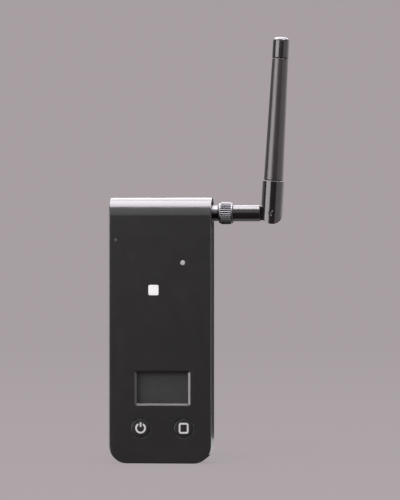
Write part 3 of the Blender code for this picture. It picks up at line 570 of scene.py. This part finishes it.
def port_cutters():
    inside = HALF_W - 2 * WALL
    usb = centre("usb_socket").z
    audio = centre("audio_jack").z

    def usb_outline(grow):
        wide, tall, radius = USB_HOLE
        return rounded_rect(wide + 2 * grow, tall + 2 * grow, radius + grow, (0.0, usb))

    return [
        flared_hole("X", (0, 0, ANTENNA_Z), JACK_COLLAR_R + GAP, inside, HALF_W),
        flared_hole("X", (0, 0, audio), AUDIO_HOLE_R, -inside, -HALF_W),
        flared_slot("X", usb_outline, -inside, -HALF_W),
        flared_hole("Z", (0, 0, 0), STAND_HOLE_R, 2 * WALL, 0.0),
    ]


def posts(side, spots):
    near, far = side * (BACK - WALL / 2), side * BOARD_BACK
    return [rod("Y", (x, 0, z), POST_R, *sorted((near, far)), SMALL) for x, z in spots]


def socket_ribs(side):
    """Cap and cheeks round the stand socket's block."""
    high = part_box("stand_socket")[1]
    half, top = high.x + GAP, high.z + GAP
    outline = [(-half - RIB, WALL / 2), (-half, WALL / 2), (-half, top), (half, top),
               (half, WALL / 2), (half + RIB, WALL / 2), (half + RIB, top + RIB),
               (-half - RIB, top + RIB)]
    return prism("Y", outline, *sorted((side * (BACK - WALL / 2), side * BOARD_BACK)))


WINDOW_LOW, WINDOW_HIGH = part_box("display_window")
WINDOW_AT = spot("display_window")
WINDOW_W = WINDOW_HIGH.x - WINDOW_LOW.x - 2 * GAP
WINDOW_H = WINDOW_HIGH.z - WINDOW_LOW.z - 2 * GAP
BEZEL_DEPTH = 0.64 * MM
BEZEL_W = 1.0 * MM
BEZEL_LAND = 0.26 * MM
RIM = 0.10 * MM


def window_cutter():
    """Aperture with a softly bevelled frame round it and the window's pocket behind."""
    inner = FACE + WALL
    pocket = FACE + BEZEL_DEPTH + BEZEL_LAND

    def ring(grow, radius):
        return rounded_rect(WINDOW_W + 2 * grow, WINDOW_H + 2 * grow, radius, WINDOW_AT)

    return loft("Y", [
        (FACE - GAP, ring(RIM, 1.10 * MM)),
        (FACE, ring(RIM, 1.10 * MM)),
        (FACE + 0.02 * MM, ring(0.02 * MM, 1.00 * MM)),
        (FACE + 0.07 * MM, ring(-RIM, 0.92 * MM)),
        (FACE + BEZEL_DEPTH, ring(-BEZEL_W, 0.45 * MM)),
        (pocket, ring(-BEZEL_W, 0.45 * MM)),
        (pocket, ring(2 * GAP, 0.80 * MM)),
        (inner + WALL / 2, ring(2 * GAP, 0.80 * MM)),
    ])


INDICATOR_SIDE = 4.6 * MM
ROUND_LENS_R = {"status": 1.1 * MM, "charge": 0.7 * MM}
FLANGE = 0.8 * MM
KEY_R = (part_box("power_key")[1].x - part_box("power_key")[0].x) / 2 - FLANGE
KEY_SPOTS = {key: spot(f"{key}_key") for key in ("power", "mode")}
LENS_SPOTS = {lens: spot(f"{lens}_lens") for lens in ("indicator", "status", "charge")}


def face_cutters():
    inner = FACE + WALL + WALL / 2

    def indicator_outline(grow):
        side = INDICATOR_SIDE + GAP + 2 * grow
        return rounded_rect(side, side, 0.7 * MM + grow, LENS_SPOTS["indicator"])

    shapes = [window_cutter(), flared_slot("Y", indicator_outline, inner, FACE, 0.08 * MM)]
    for x, z in KEY_SPOTS.values():
        shapes.append(flared_hole("Y", (x, 0, z), KEY_R + 0.25 * MM, inner, FACE, 0.10 * MM))
    for lens, radius in ROUND_LENS_R.items():
        x, z = LENS_SPOTS[lens]
        shapes.append(flared_hole("Y", (x, 0, z), radius + GAP / 2, inner, FACE, 0.06 * MM, SMALL))
    return shapes


def make_case():
    front = case_half("front_case", -1)
    combine(front, "UNION", *posts(-1, SCREW_SPOTS + BOARD_SCREW_SPOTS))
    combine(front, "UNION", socket_ribs(-1))
    pilots = [rod("Y", (x, 0, z), SHANK_R + GAP, PILOT_FLOOR, 0.0, 32)
              for x, z in SCREW_SPOTS + BOARD_SCREW_SPOTS]
    combine(front, "DIFFERENCE", *pilots)
    combine(front, "DIFFERENCE", *face_cutters())
    install(front, MATERIALS["case_black"], "case", "case_black", "front_shell")
    rear = case_half("rear_case", 1)
    combine(rear, "UNION", *posts(1, SCREW_SPOTS))
    combine(rear, "UNION", socket_ribs(1))
    seat = BACK - COUNTERBORE
    lip = 0.2 * MM
    bore = [(0.0, 0.0), (0.0, SHANK_R + GAP), (seat, SHANK_R + GAP), (seat, HEAD_R + GAP)]
    bore += [(BACK - lip * (1 - math.sin(a)), HEAD_R + GAP + lip * (1 - math.cos(a)))
             for a in quarter(4)]
    bore += [(BACK + WALL, HEAD_R + GAP + lip), (BACK + WALL, 0.0)]
    combine(rear, "DIFFERENCE", *[lathe("Y", (x, 0, z), bore, SMALL) for x, z in SCREW_SPOTS])
    install(rear, MATERIALS["case_black"], "case", "case_black", "rear_shell")


def make_case_screw(name):
    """Pan head with a tapered cross recess; the shank runs to its post."""
    low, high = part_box(name)
    x, z = spot(name)
    top, tip = high.y, low.y
    under, ease, crown = top - HEAD_H, 0.05 * MM, 0.6 * MM
    dome = [(under, SHANK_R), (under, HEAD_R - ease), (under + ease, HEAD_R)]
    dome += [(top - crown * (1 - math.sin(a)), HEAD_R * (0.62 + 0.38 * math.cos(a)))
             for a in quarter(8)]
    profile = [(tip, 0), (tip + 0.7 * MM, SHANK_R)] + dome + [(top, 0)]
    screw = new_object(f"{name}_head", lathe("Y", (x, 0, z), profile, MEDIUM))

    def cross(arm, half):
        outline = [(half, half), (arm, half), (arm, -half), (half, -half), (half, -arm),
                   (-half, -arm), (-half, -half), (-arm, -half), (-arm, half), (-half, half),
                   (-half, arm), (half, arm)]
        return [(x + u, z + v) for u, v in outline]

    mouth = cross(1.05 * MM, 0.24 * MM)
    combine(screw, "DIFFERENCE", loft("Y", [
        (top - 0.9 * MM, cross(0.45 * MM, 0.16 * MM)), (top, mouth), (top + 0.5 * MM, mouth)]))
    install(screw, MATERIALS["steel"], "case", "steel", name)


# ---- front panel -----------------------------------------------------------------------------
def make_window():
    """Smoked pane with a fine ground edge, over the panel and its polariser."""
    low, high = WINDOW_LOW.y, WINDOW_HIGH.y
    ease = 0.08 * MM
    width, height = WINDOW_W + 2 * GAP, WINDOW_H + 2 * GAP

    def ring(inset):
        return rounded_rect(width - 2 * inset, height - 2 * inset, 0.5 * MM, WINDOW_AT)

    pane = loft("Y", [(low, ring(ease)), (low + ease, ring(0)), (high - ease, ring(0)),
                      (high, ring(ease))])
    install(new_object("display_pane", pane), MATERIALS["window_smoke"], "case", "window_smoke",
            "display_window")
    panel_low, panel_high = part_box("display_panel")
    wide, tall = panel_high.x - panel_low.x, panel_high.z - panel_low.z
    sheet, edge = 0.12 * MM, 0.1 * MM

    def panel_ring(inset):
        return rounded_rect(wide - 2 * inset, tall - 2 * inset, 0.4 * MM, WINDOW_AT)

    panel = loft("Y", [(panel_low.y + sheet, panel_ring(edge)),
                       (panel_low.y + sheet + edge, panel_ring(0)), (panel_high.y, panel_ring(0))])
    install(new_object("display_body", panel), MATERIALS["chip_black"], "case", "display_grey",
            "display_panel")
    margin_w, margin_h, bevel = 4.5 * MM, 2.9 * MM, 0.1 * MM

    def film_ring(less):
        return rounded_rect(wide - margin_w - less, tall - margin_h - less, 0.3 * MM, WINDOW_AT)

    polariser = loft("Y", [(panel_low.y, film_ring(bevel)), (panel_low.y + 0.04 * MM, film_ring(0)),
                           (panel_low.y + sheet, film_ring(0))])
    install(new_object("display_polariser", polariser), MATERIALS["display_grey"], "case",
            "display_grey")


def make_lens(name, node, outline_at, flange, stem, material):
    """Lens flush with the face, its front edge eased, with its flange and stem behind."""
    inner = FACE + WALL + GAP
    ease = 0.12 * MM
    rings = [(FACE + ease * (1 - math.cos(a)), outline_at(ease * (1 - math.sin(a))))
             for a in quarter(4)]
    rings += [(inner, outline_at(0)), (inner, flange), (inner + FLANGE, flange),
              (inner + FLANGE, stem), (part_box(node)[1].y, stem)]
    slot = next(s["material_slot"] for s in frame["record"]["subparts"] if s["node"] == node)
    install(new_object(name, loft("Y", rings)), material, "case", slot, node)


LENS_PAINT = {"status": MATERIALS["lens_grey"], "charge": MATERIALS["lens_smoke"]}


def make_lenses():
    def square(side):
        return rounded_rect(side, side, 0.6 * MM, LENS_SPOTS["indicator"])

    make_lens("indicator_face", "indicator_lens", lambda inset: square(INDICATOR_SIDE - 2 * inset),
              square(7.0 * MM), square(4.0 * MM), MATERIALS["lens_white"])
    for lens, radius in ROUND_LENS_R.items():
        def circle(r, at=LENS_SPOTS[lens]):
            return arc(at, r, 0, 360 * (1 - 1 / SMALL), SMALL - 1)

        make_lens(f"{lens}_face", f"{lens}_lens", lambda inset, r=radius: circle(r - inset),
                  circle(radius + 0.4 * MM), circle(radius * 0.9), LENS_PAINT[lens])


def make_key(key):
    """Round cap, its rim rolled, with the retaining flange and the stem behind it."""
    x, z = KEY_SPOTS[key]
    low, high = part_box(f"{key}_key")
    depth = high.y - low.y
    inner = (FACE + WALL + GAP) - low.y
    roll, stem_r = 0.2 * MM, 1.5 * MM
    profile = [(0.0, 0.0), (0.0, KEY_R * 0.5)]
    profile += [(roll * (1 - math.cos(a)), KEY_R - roll * (1 - math.sin(a)))
                for a in quarter(6)]
    profile += [(inner, KEY_R), (inner, KEY_R + FLANGE), (inner + FLANGE, KEY_R + FLANGE),
                (inner + FLANGE, stem_r), (depth, stem_r), (depth, 0.0)]
    cap = new_object(f"{key}_cap", lathe("Y", (x, low.y, z), profile))
    body = f"{key}_button"
    install(cap, MATERIALS["key_black"], body, "key_black", f"{key}_key")
    mark = power_mark(x, z) if key == "power" else mode_mark(x, z)
    raised, sunk, ease = 0.05 * MM, 0.1 * MM, 0.04 * MM
    for index, stroke in enumerate(mark, 1):
        rings = [(low.y - raised, stroke(-ease)), (low.y - raised * 0.4, stroke(0.0)),
                 (low.y + sunk, stroke(0.0))]
        install(new_object(f"{key}_mark_{index}", stroke_solid(rings)), MATERIALS["print_white"],
                body, "lens_grey")


def stroke_solid(rings):
    """Closed solid of a stroke. An outline is one loop, or an (outer, inner) pair for a band."""
    if not isinstance(rings[0][1], tuple):
        return loft("Y", rings)
    outer = [(y, pair[0]) for y, pair in rings]
    inner = [(y, pair[1]) for y, pair in rings]
    bm = bmesh.new()
    loops = [[bm.verts.new((u, y, v)) for u, v in outline] for y, outline in outer + inner[::-1]]
    bridge(bm, loops + loops[:1])
    bmesh.ops.recalc_face_normals(bm, faces=bm.faces)
    return bm


STROKE = 0.85 * MM


def power_mark(x, z):
    """Ring open at the top, with an upright bar in the opening."""
    radius, bar_length, bar_lift = 2.1 * MM, 2.2 * MM, 1.6 * MM
    start, end, steps = 120, 420, 56

    def ring(grow):
        half = STROKE / 2 + grow
        outer = arc((x, z), radius + half, start, end, steps)
        inner = arc((x, z), radius - half, end, start, steps)
        return outer + inner

    def bar(grow):
        half = STROKE / 2 + grow
        return rounded_rect(2 * half, bar_length + 2 * grow, half * 0.9, (x, z + bar_lift))

    return [ring, bar]


def mode_mark(x, z):
    """Square outline with rounded corners."""
    wide, tall = 3.8 * MM, 4.2 * MM

    def square(grow):
        half = STROKE / 2 + grow
        return (rounded_rect(wide + 2 * half, tall + 2 * half, 1.1 * MM + grow, (x, z)),
                rounded_rect(wide - 2 * half, tall - 2 * half, 0.35 * MM, (x, z)))

    return [square]


# ---- ports -----------------------------------------------------------------------------------
USB_PITCH = 0.5 * MM


def usb_pad(side, z, half_t, start, end):
    """One contact, let into the tongue's side and standing a little proud of it."""
    sunk, proud, half_w = 0.05 * MM, 0.03 * MM, 0.14 * MM
    return block((start + 0.35 * MM, end - 0.5 * MM),
                 sorted((side * (half_t - sunk), side * (half_t + proud))),
                 (z - half_w, z + half_w))


def make_usb():
    """Drawn shell with a rolled mouth, and a tongue that carries gold contacts."""
    low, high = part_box("usb_socket")
    z = centre("usb_socket").z
    deep, tall = high.y - low.y, high.z - low.z
    mouth, back, skin = low.x, high.x, 0.3 * MM

    def ring(inset):
        wide = deep - 2 * inset
        return rounded_rect(wide, tall - 2 * inset, wide * 0.48, (0.0, z), 12)

    ease = 0.1 * MM
    shell = new_object("usb_shell", loft("X", [
        (mouth, ring(skin)), (mouth, ring(ease)), (mouth + ease, ring(0)), (back - ease, ring(0)),
        (back, ring(ease))]))
    combine(shell, "DIFFERENCE", loft("X", [
        (mouth - GAP, ring(skin - ease)), (mouth, ring(skin - ease)), (mouth + ease, ring(skin)),
        (back - 0.8 * MM, ring(skin))]))
    install(shell, MATERIALS["tin_plate"], "case", "tin_plate", "usb_socket")
    half_t, half_h = 0.35 * MM, 3.3 * MM
    start, end = mouth + 0.9 * MM, back - 0.6 * MM
    whole = rounded_rect(2 * half_t, 2 * half_h, 0.12 * MM, (0, z))
    tip = rounded_rect(2 * half_t - 0.2 * MM, 2 * half_h - 0.6 * MM, 0.1 * MM, (0, z))
    tongue = loft("X", [(start, tip), (start + 0.3 * MM, whole), (end, whole)])
    install(new_object("usb_tongue", tongue), MATERIALS["switch_black"], "case", "switch_black")
    pads = [usb_pad(side, z + (k - 5.5) * USB_PITCH, half_t, start, end)
            for side in (-1, 1) for k in range(12)]
    install(new_object("usb_contacts", gathered(pads)), MATERIALS["gold"], "case", "gold")


def make_audio():
    """Moulded socket: block inside, eased barrel in the wall, countersunk bore."""
    low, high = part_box("audio_jack")
    z = centre("audio_jack").z
    wall_face = -HALF_W + WALL + GAP
    jack = new_object("audio_socket", block((wall_face, high.x), (low.y, high.y), (low.z, high.z)))
    round_edges(jack, 0.15 * MM, 2)
    barrel_r, bore_r, ease, overlap, bore_end = 2.4 * MM, 1.8 * MM, 0.25 * MM, 0.5 * MM, -10.6 * MM
    barrel = [(low.x, 0)] + rounded_end(low.x, barrel_r, ease, -1)
    barrel += [(wall_face + overlap, barrel_r), (wall_face + overlap, 0)]
    combine(jack, "UNION", lathe("X", (0, 0, z), barrel, MEDIUM))
    outside = low.x - 1 * MM
    bore = [(outside, 0), (outside, bore_r + ease), (low.x, bore_r + ease),
            (low.x + ease, bore_r), (bore_end, bore_r), (bore_end, 0)]
    combine(jack, "DIFFERENCE", lathe("X", (0, 0, z), bore, MEDIUM))
    install(jack, MATERIALS["switch_black"], "case", "switch_black", "audio_jack")


def helix(pitch, depth, start, end, fade):
    """radius_at for a thread along the axis that runs out softly at both ends."""
    def radius_at(distance, radius, angle):
        phase = (distance / pitch - angle / (2 * math.pi)) % 1.0
        wave = min(max(abs(2 * phase - 1) * 1.35 - 0.175, 0.0), 1.0)
        inside = min(max((distance - start) / fade, 0.0), max((end - distance) / fade, 0.0), 1.0)
        return radius - depth * wave * inside
    return radius_at


def spaced(start, end, radius, step):
    count = max(2, round((end - start) / step))
    return [(start + (end - start) * i / count, radius) for i in range(count + 1)]


def make_stand_socket():
    """Captive brass nut with a real thread in its blind bore."""
    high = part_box("stand_socket")[1]
    half, block_low = high.x, WALL + GAP
    nut = new_object("stand_nut", block((-half, half), (-half, half), (block_low, high.z)))
    round_edges(nut, 0.25 * MM, 2)
    neck_r, overlap = 5.0 * MM, 0.5 * MM
    neck = [(0.0, 0.0)] + rounded_end(0.0, neck_r, 0.3 * MM, -1)
    neck += [(block_low + overlap, neck_r), (block_low + overlap, 0.0)]
    combine(nut, "UNION", lathe("Z", (0, 0, 0), neck))
    pitch, deep, bore_r = 1.27 * MM, 8.2 * MM, 3.25 * MM
    profile = [(-0.5 * MM, 0), (-0.5 * MM, bore_r + 0.9 * MM), (0.0, bore_r + 0.5 * MM)]
    profile += spaced(0.45 * MM, deep, bore_r, pitch / 10) + [(deep, 0)]
    thread = helix(pitch, 0.62 * MM, 0.3 * MM, deep + 1 * MM, 0.8 * MM)
    combine(nut, "DIFFERENCE", lathe("Z", (0, 0, 0), profile, SMALL, radius_at=thread))
    install(nut, MATERIALS["brass"], "case", "brass", "stand_socket")


# ---- antenna ---------------------------------------------------------------------------------
def make_jack():
    """Smooth collar in the wall and threaded barrel outside, with flange and legs on the board."""
    low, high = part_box("antenna_jack")
    flange_low, flange_high = 19.7 * MM, 21.7 * MM
    jack_r, bore, end = 3.175 * MM, 2.3 * MM, high.x
    pitch = 0.706 * MM
    collar_low, collar_high = flange_high + GAP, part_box("coupling_nut")[0].x - GAP
    plain = jack_r - 0.1 * MM
    outer = [(flange_low, bore), (flange_low, plain), (collar_low, plain)]
    outer += rounded_end(collar_low, JACK_COLLAR_R, 0.2 * MM, -1)
    outer += rounded_end(collar_high, JACK_COLLAR_R, 0.3 * MM, 1)
    outer += spaced(collar_high + 0.05 * MM, end - 0.5 * MM, jack_r, pitch / 8)
    outer += [(end - 0.25 * MM, jack_r - 0.25 * MM), (end, jack_r - 0.45 * MM), (end, bore)]
    thread = helix(pitch, 0.36 * MM, collar_high, end, 0.3 * MM)

    def radius_at(distance, radius, angle):
        return thread(distance, radius, angle) if radius == jack_r else radius

    barrel = lathe("X", (0, 0, ANTENNA_Z), outer, 72, hollow=True, radius_at=radius_at)
    install(new_object("jack_barrel", barrel), MATERIALS["gunmetal"], "case", "gunmetal",
            "antenna_jack")
    flange = new_object("jack_flange", block((flange_low, flange_high), (-jack_r, jack_r),
                                             (ANTENNA_Z - jack_r, ANTENNA_Z + jack_r)))
    leg_at, leg_half, leg_deep = 2.4 * MM, 0.4 * MM, 1.8 * MM
    legs = [block((low.x, flange_low + GAP), sorted((sy * BOARD_BACK, sy * leg_deep)),
                  (ANTENNA_Z + sz * leg_at - leg_half, ANTENNA_Z + sz * leg_at + leg_half))
            for sy in (-1, 1) for sz in (-1, 1)]
    combine(flange, "UNION", *legs)
    combine(flange, "DIFFERENCE", rod("X", (0, 0, ANTENNA_Z), jack_r - 0.2 * MM,
                                      flange_low - GAP, flange_high + GAP))
    install(flange, MATERIALS["gunmetal"], "case", "gunmetal")


NUT_TEETH = 32


def make_nut():
    """Knurled coupling nut: crowned grip between two plain collars."""
    low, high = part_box("coupling_nut")
    start, end = low.x, high.x
    grip_r, tooth = (high.z - low.z) / 2, 0.42 * MM
    collar, bore, lip = grip_r - 0.5 * MM, 3.475 * MM, 2.7 * MM
    lip_at, lead_in, rounding = end - 1.3 * MM, 0.2 * MM, 0.35 * MM
    ramp, step = 0.4 * MM, 0.05 * MM
    low_grip, high_grip = start + 0.7 * MM, end - 0.7 * MM
    loop = [(start, bore + lead_in)] + rounded_end(start, collar, rounding, -1)
    loop += [(low_grip, collar)] + spaced(low_grip + step, high_grip - step, grip_r, 0.22 * MM)
    loop += [(high_grip, collar)] + rounded_end(end, collar, rounding, 1)
    loop += [(end, lip), (lip_at, lip), (lip_at, bore), (start + lead_in, bore)]

    def radius_at(distance, radius, angle):
        if radius != grip_r:
            return radius
        crown = min((distance - low_grip) / ramp, (high_grip - distance) / ramp, 1.0)
        crown = max(crown, 0.0)
        phase = (angle * NUT_TEETH / (2 * math.pi)) % 1.0
        ridge = min(abs(2 * phase - 1) * 1.15, 1.0)
        return collar + (grip_r - collar) * crown * (1 - ridge * tooth / (grip_r - collar) * 0.85)

    nut = lathe("X", (0, 0, ANTENNA_Z), loop, NUT_TEETH * 8, hollow=True, radius_at=radius_at)
    install(new_object("knurled_nut", nut), MATERIALS["nut_satin"], "nut", "gunmetal",
            "coupling_nut")


FOOT_R = 5.0 * MM
FOOT_TOP = 15.0 * MM
TONGUE_R = 3.3 * MM
TONGUE_HALF = 1.9 * MM
PIN_HOLE_R = 1.3 * MM


def make_swivel():
    """Moulded barrel with its hinge tongue and the pin through it."""
    nut_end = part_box("coupling_nut")[1].x
    start, end = nut_end + 0.05 * MM, PIVOT.x - FOOT_R - GAP
    neck, relief, relief_start, relief_end = 2.7 * MM, 0.8 * MM, 36.3 * MM, 38.8 * MM
    profile = [(relief_end, 0), (relief_end, relief), (relief_start, relief),
               (relief_start, neck), (start, neck)]
    profile += rounded_end(start, BARREL_R, 0.20 * MM, -1, 6)
    profile += rounded_end(end, BARREL_R, 0.55 * MM, 1, 6) + [(end, 0)]
    barrel = new_object("swivel_barrel", lathe("X", (0, 0, ANTENNA_Z), profile))
    ease, back = 0.3 * MM, end - 1.0 * MM

    def outline(inset):
        r = TONGUE_R - inset
        points = arc((PIVOT.x, ANTENNA_Z), r, -90, 90, 40)
        return points + [(back, ANTENNA_Z + r), (back, ANTENNA_Z - r)]

    rings = [(-TONGUE_HALF + ease * (1 - math.cos(a)), outline(ease * (1 - math.sin(a))))
             for a in quarter(4)]
    rings += [(-y, o) for y, o in rings[::-1]]
    combine(barrel, "UNION", loft("Y", rings))
    combine(barrel, "DIFFERENCE", rod("Y", (PIVOT.x, 0, ANTENNA_Z), PIN_HOLE_R, -FOOT_R, FOOT_R,
                                      SMALL))
    install(barrel, MATERIALS["antenna_gloss"], "swivel", "antenna_gloss", "swivel_base")
    pin_low, pin_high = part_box("hinge_pin")
    half, pin_r, rounding = (pin_high.y - pin_low.y) / 2, 1.0 * MM, 0.3 * MM
    ends = rounded_end(-half, pin_r, rounding, -1) + rounded_end(half, pin_r, rounding, 1)
    pin = lathe("Y", (PIVOT.x, 0, ANTENNA_Z), [(-half, 0)] + ends + [(half, 0)], SMALL)
    install(new_object("pivot_pin", pin), MATERIALS["pin_black"], "swivel", "steel", "hinge_pin")


WHIP_LENGTH = 82.5 * MM
COVER_TOP = WHIP_LENGTH - 10.0 * MM
SPIGOT_R = 3.0 * MM


def make_foot():
    """Fork that straddles the tongue, round below, with the cover's socket above."""
    low = -FOOT_R - GAP
    profile = [(low, 0), (low, FOOT_R)] + rounded_end(FOOT_TOP, FOOT_R, 0.25 * MM, 1, 6)
    profile += [(FOOT_TOP, 0)]
    foot = new_object("whip_fork", lathe("Z", (0, 0, 0), profile))
    form = arc((0.0, 0.0), FOOT_R, 192, 348, 48)
    shoulder, wide, top = form[0][1], 2 * FOOT_R, FOOT_TOP + GAP
    form += [(wide, shoulder), (wide, top), (-wide, top), (-wide, shoulder)]
    combine(foot, "INTERSECT", prism("Y", form, -wide, wide))
    slot, reach = TONGUE_HALF + GAP, TONGUE_R + GAP
    combine(foot, "DIFFERENCE", block((-wide, reach), (-slot, slot), (-wide, reach)))
    round_edges(foot, 0.22 * MM, 3, math.radians(48))
    combine(foot, "DIFFERENCE", rod("Y", (0, 0, 0), PIN_HOLE_R, -wide, wide, SMALL),
            rod("Z", (0, 0, 0), SPIGOT_R + GAP, 8.7 * MM, top, MEDIUM))
    foot.data.transform(WHIP_FRAME)
    install(foot, MATERIALS["antenna_gloss"], "whip", "antenna_gloss", "whip_foot")


def make_cover():
    """Long tapered sleeve and the plain cap that closes it."""
    low, bore, spigot_low = FOOT_TOP + GAP, 2.0 * MM, 9.0 * MM
    low_r, top_r, parts = 4.5 * MM, 3.75 * MM, 12
    loop = [(spigot_low, bore), (spigot_low, SPIGOT_R), (low, SPIGOT_R)]
    loop += rounded_end(low, low_r, 0.3 * MM, -1)
    loop += [(low + (COVER_TOP - low) * i / parts, low_r + (top_r - low_r) * i / parts)
             for i in range(1, parts)]
    loop += rounded_end(COVER_TOP, top_r, 0.2 * MM, 1) + [(COVER_TOP, bore)]
    cover = new_object("whip_sleeve", lathe("Z", (0, 0, 0), loop, hollow=True), WHIP_FRAME)
    install(cover, MATERIALS["antenna_satin"], "whip", "antenna_satin", "whip_cover")
    cap_r, dome, plug_r, plug_low = 3.82 * MM, 2.0 * MM, 1.7 * MM, COVER_TOP - 3.5 * MM
    start = COVER_TOP + GAP
    profile = [(plug_low, 0), (plug_low, plug_r), (start, plug_r)]
    profile += rounded_end(start, cap_r, 0.2 * MM, -1)
    profile += [(WHIP_LENGTH - dome + dome * math.sin(a), cap_r - dome + dome * math.cos(a))
                for a in quarter(16)]
    profile += [(WHIP_LENGTH - 0.005 * MM, 0)]
    cap = new_object("whip_tip", lathe("Z", (0, 0, 0), profile), WHIP_FRAME)
    install(cap, MATERIALS["antenna_gloss"], "whip", "antenna_gloss", "whip_cap")


# ---- build -----------------------------------------------------------------------------------
make_case()
make_seam_tongue()
for screw_name in SCREW_NAMES:
    make_case_screw(screw_name)
make_window()
make_lenses()
make_key("power")
make_key("mode")
make_usb()
make_audio()
make_stand_socket()
make_jack()
make_nut()
make_swivel()
make_foot()
make_cover()

for entry in frame["record"]["subparts"]:
    node = frame["nodes"][entry["node"]]
    node.data.materials.clear()
    node.data.materials.append(MATERIALS[entry["material_slot"]])


# ---- stage, light and camera -----------------------------------------------------------------
MIDDLE = (cad_box[0] + cad_box[1]) / 2
STAGE_TONE = (0.112, 0.100, 0.105)
STAGE_GLOW = (0.332, 0.300, 0.310)


def make_stage():
    """Pale floor that sweeps up into a round wall far behind everything."""
    flat, sweep, high = 2.2, 1.4, 3.2
    profile = [(0.0, 0.0), (0.0, 0.5), (0.0, flat)]
    profile += [(sweep * (1 - math.cos(a)), flat + sweep * math.sin(a)) for a in quarter(20)[1:]]
    profile += [(high, flat + sweep)]
    floor = new_object("floor", lathe("Z", (0, 0, 0), profile, 128))
    floor.data.shade_smooth()
    paint = Paint("floor", 0.9, specular=0.0)
    cloud = paint.noise(0.4, 3.0)
    paint.colour(scaled(STAGE_TONE, 0.98), scaled(STAGE_TONE, 1.02), cloud)
    paint.rough(cloud, 0.86, 0.94)
    paint.shader.inputs["Emission Color"].default_value = (*STAGE_GLOW, 1.0)
    paint.shader.inputs["Emission Strength"].default_value = 1.0
    floor.data.materials.append(paint.material)
    floor.visible_glossy = False


def add_light(name, at, size, radiance, tint=(1.0, 1.0, 1.0), diffuse=True, glossy=True):
    """Rectangular panel of an even radiance that faces the unit."""
    light = bpy.data.lights.new(name, "AREA")
    light.shape = "RECTANGLE"
    light.size, light.size_y = size
    light.energy = radiance * math.pi * size[0] * size[1]
    light.color = tint
    obj = bpy.data.objects.new(name, light)
    bpy.context.scene.collection.objects.link(obj)
    obj.location = at
    obj.rotation_euler = (MIDDLE - Vector(at)).to_track_quat("-Z", "Y").to_euler()
    obj.visible_camera = False
    obj.visible_diffuse = diffuse
    obj.visible_glossy = glossy
    return obj


def around(azimuth, elevation, distance):
    """A point round the unit's middle, in degrees from straight ahead of the face."""
    a, e = math.radians(azimuth), math.radians(elevation)
    back = Vector((math.sin(a) * math.cos(e), -math.cos(a) * math.cos(e), math.sin(e)))
    return MIDDLE + back * distance


def make_lights():
    """Soft panels: the gloss ones are seen only as reflections, the soft ones only light."""
    lilac, rose = (0.99, 0.94, 1.0), (1.0, 0.95, 0.98)
    add_light("sky_gloss", (0.0, -0.08, 0.75), (1.4, 0.56), 16.0, lilac, diffuse=False)
    add_light("sky_back_gloss", (0.0, 0.55, 0.75), (1.4, 0.60), 8.0, lilac, diffuse=False)
    add_light("front_gloss", around(0, 29, 1.5), (1.6, 1.15), 1.2, diffuse=False)
    add_light("sky_soft", (0.0, -0.6, 2.0), (2.2, 2.2), 1.1, glossy=False)
    add_light("left_gloss", around(-50, 4, 1.3), (1.2, 1.2), 8.0, rose, diffuse=False)
    add_light("right_gloss", around(99, 4, 0.9), (3.0, 0.9), 1.45, rose, diffuse=False)
    add_light("left_back_gloss", around(-127, 4, 1.5), (1.87, 1.2), 0.5, diffuse=False)
    # Faces up from the floor, behind the face's plane, so that the face can't mirror it.
    floor_gloss = add_light("floor_gloss", (0.0, 0.061, 0.004), (1.6, 0.139), 0.9, diffuse=False)
    floor_gloss.rotation_euler = (math.pi, 0.0, 0.0)
    add_light("front_soft", around(-12, 28, 1.9), (1.4, 1.0), 1.6, glossy=False)
    world = bpy.data.worlds.new("room")
    world.use_nodes = True
    background = world.node_tree.nodes["Background"]
    background.inputs["Color"].default_value = (0.95, 0.94, 0.96, 1.0)
    background.inputs["Strength"].default_value = 0.45
    bpy.context.scene.world = world
    world.cycles_visibility.glossy = False


def make_camera():
    azimuth, elevation, distance = 4.7, -0.3, 1.45
    filled = 0.85
    frame_height = (cad_box[1].z - cad_box[0].z) / filled
    camera = bpy.data.cameras.new("camera")
    camera.sensor_width = 36.0
    camera.lens = camera.sensor_width * distance / frame_height
    camera.clip_start, camera.clip_end = 0.05, 20.0
    obj = bpy.data.objects.new("camera", camera)
    bpy.context.scene.collection.objects.link(obj)
    obj.location = around(azimuth, elevation, distance)
    obj.rotation_euler = (MIDDLE - obj.location).to_track_quat("-Z", "Y").to_euler()
    bpy.context.scene.camera = obj


make_stage()
make_lights()
make_camera()
bpy.context.scene.view_settings.view_transform = "Standard"
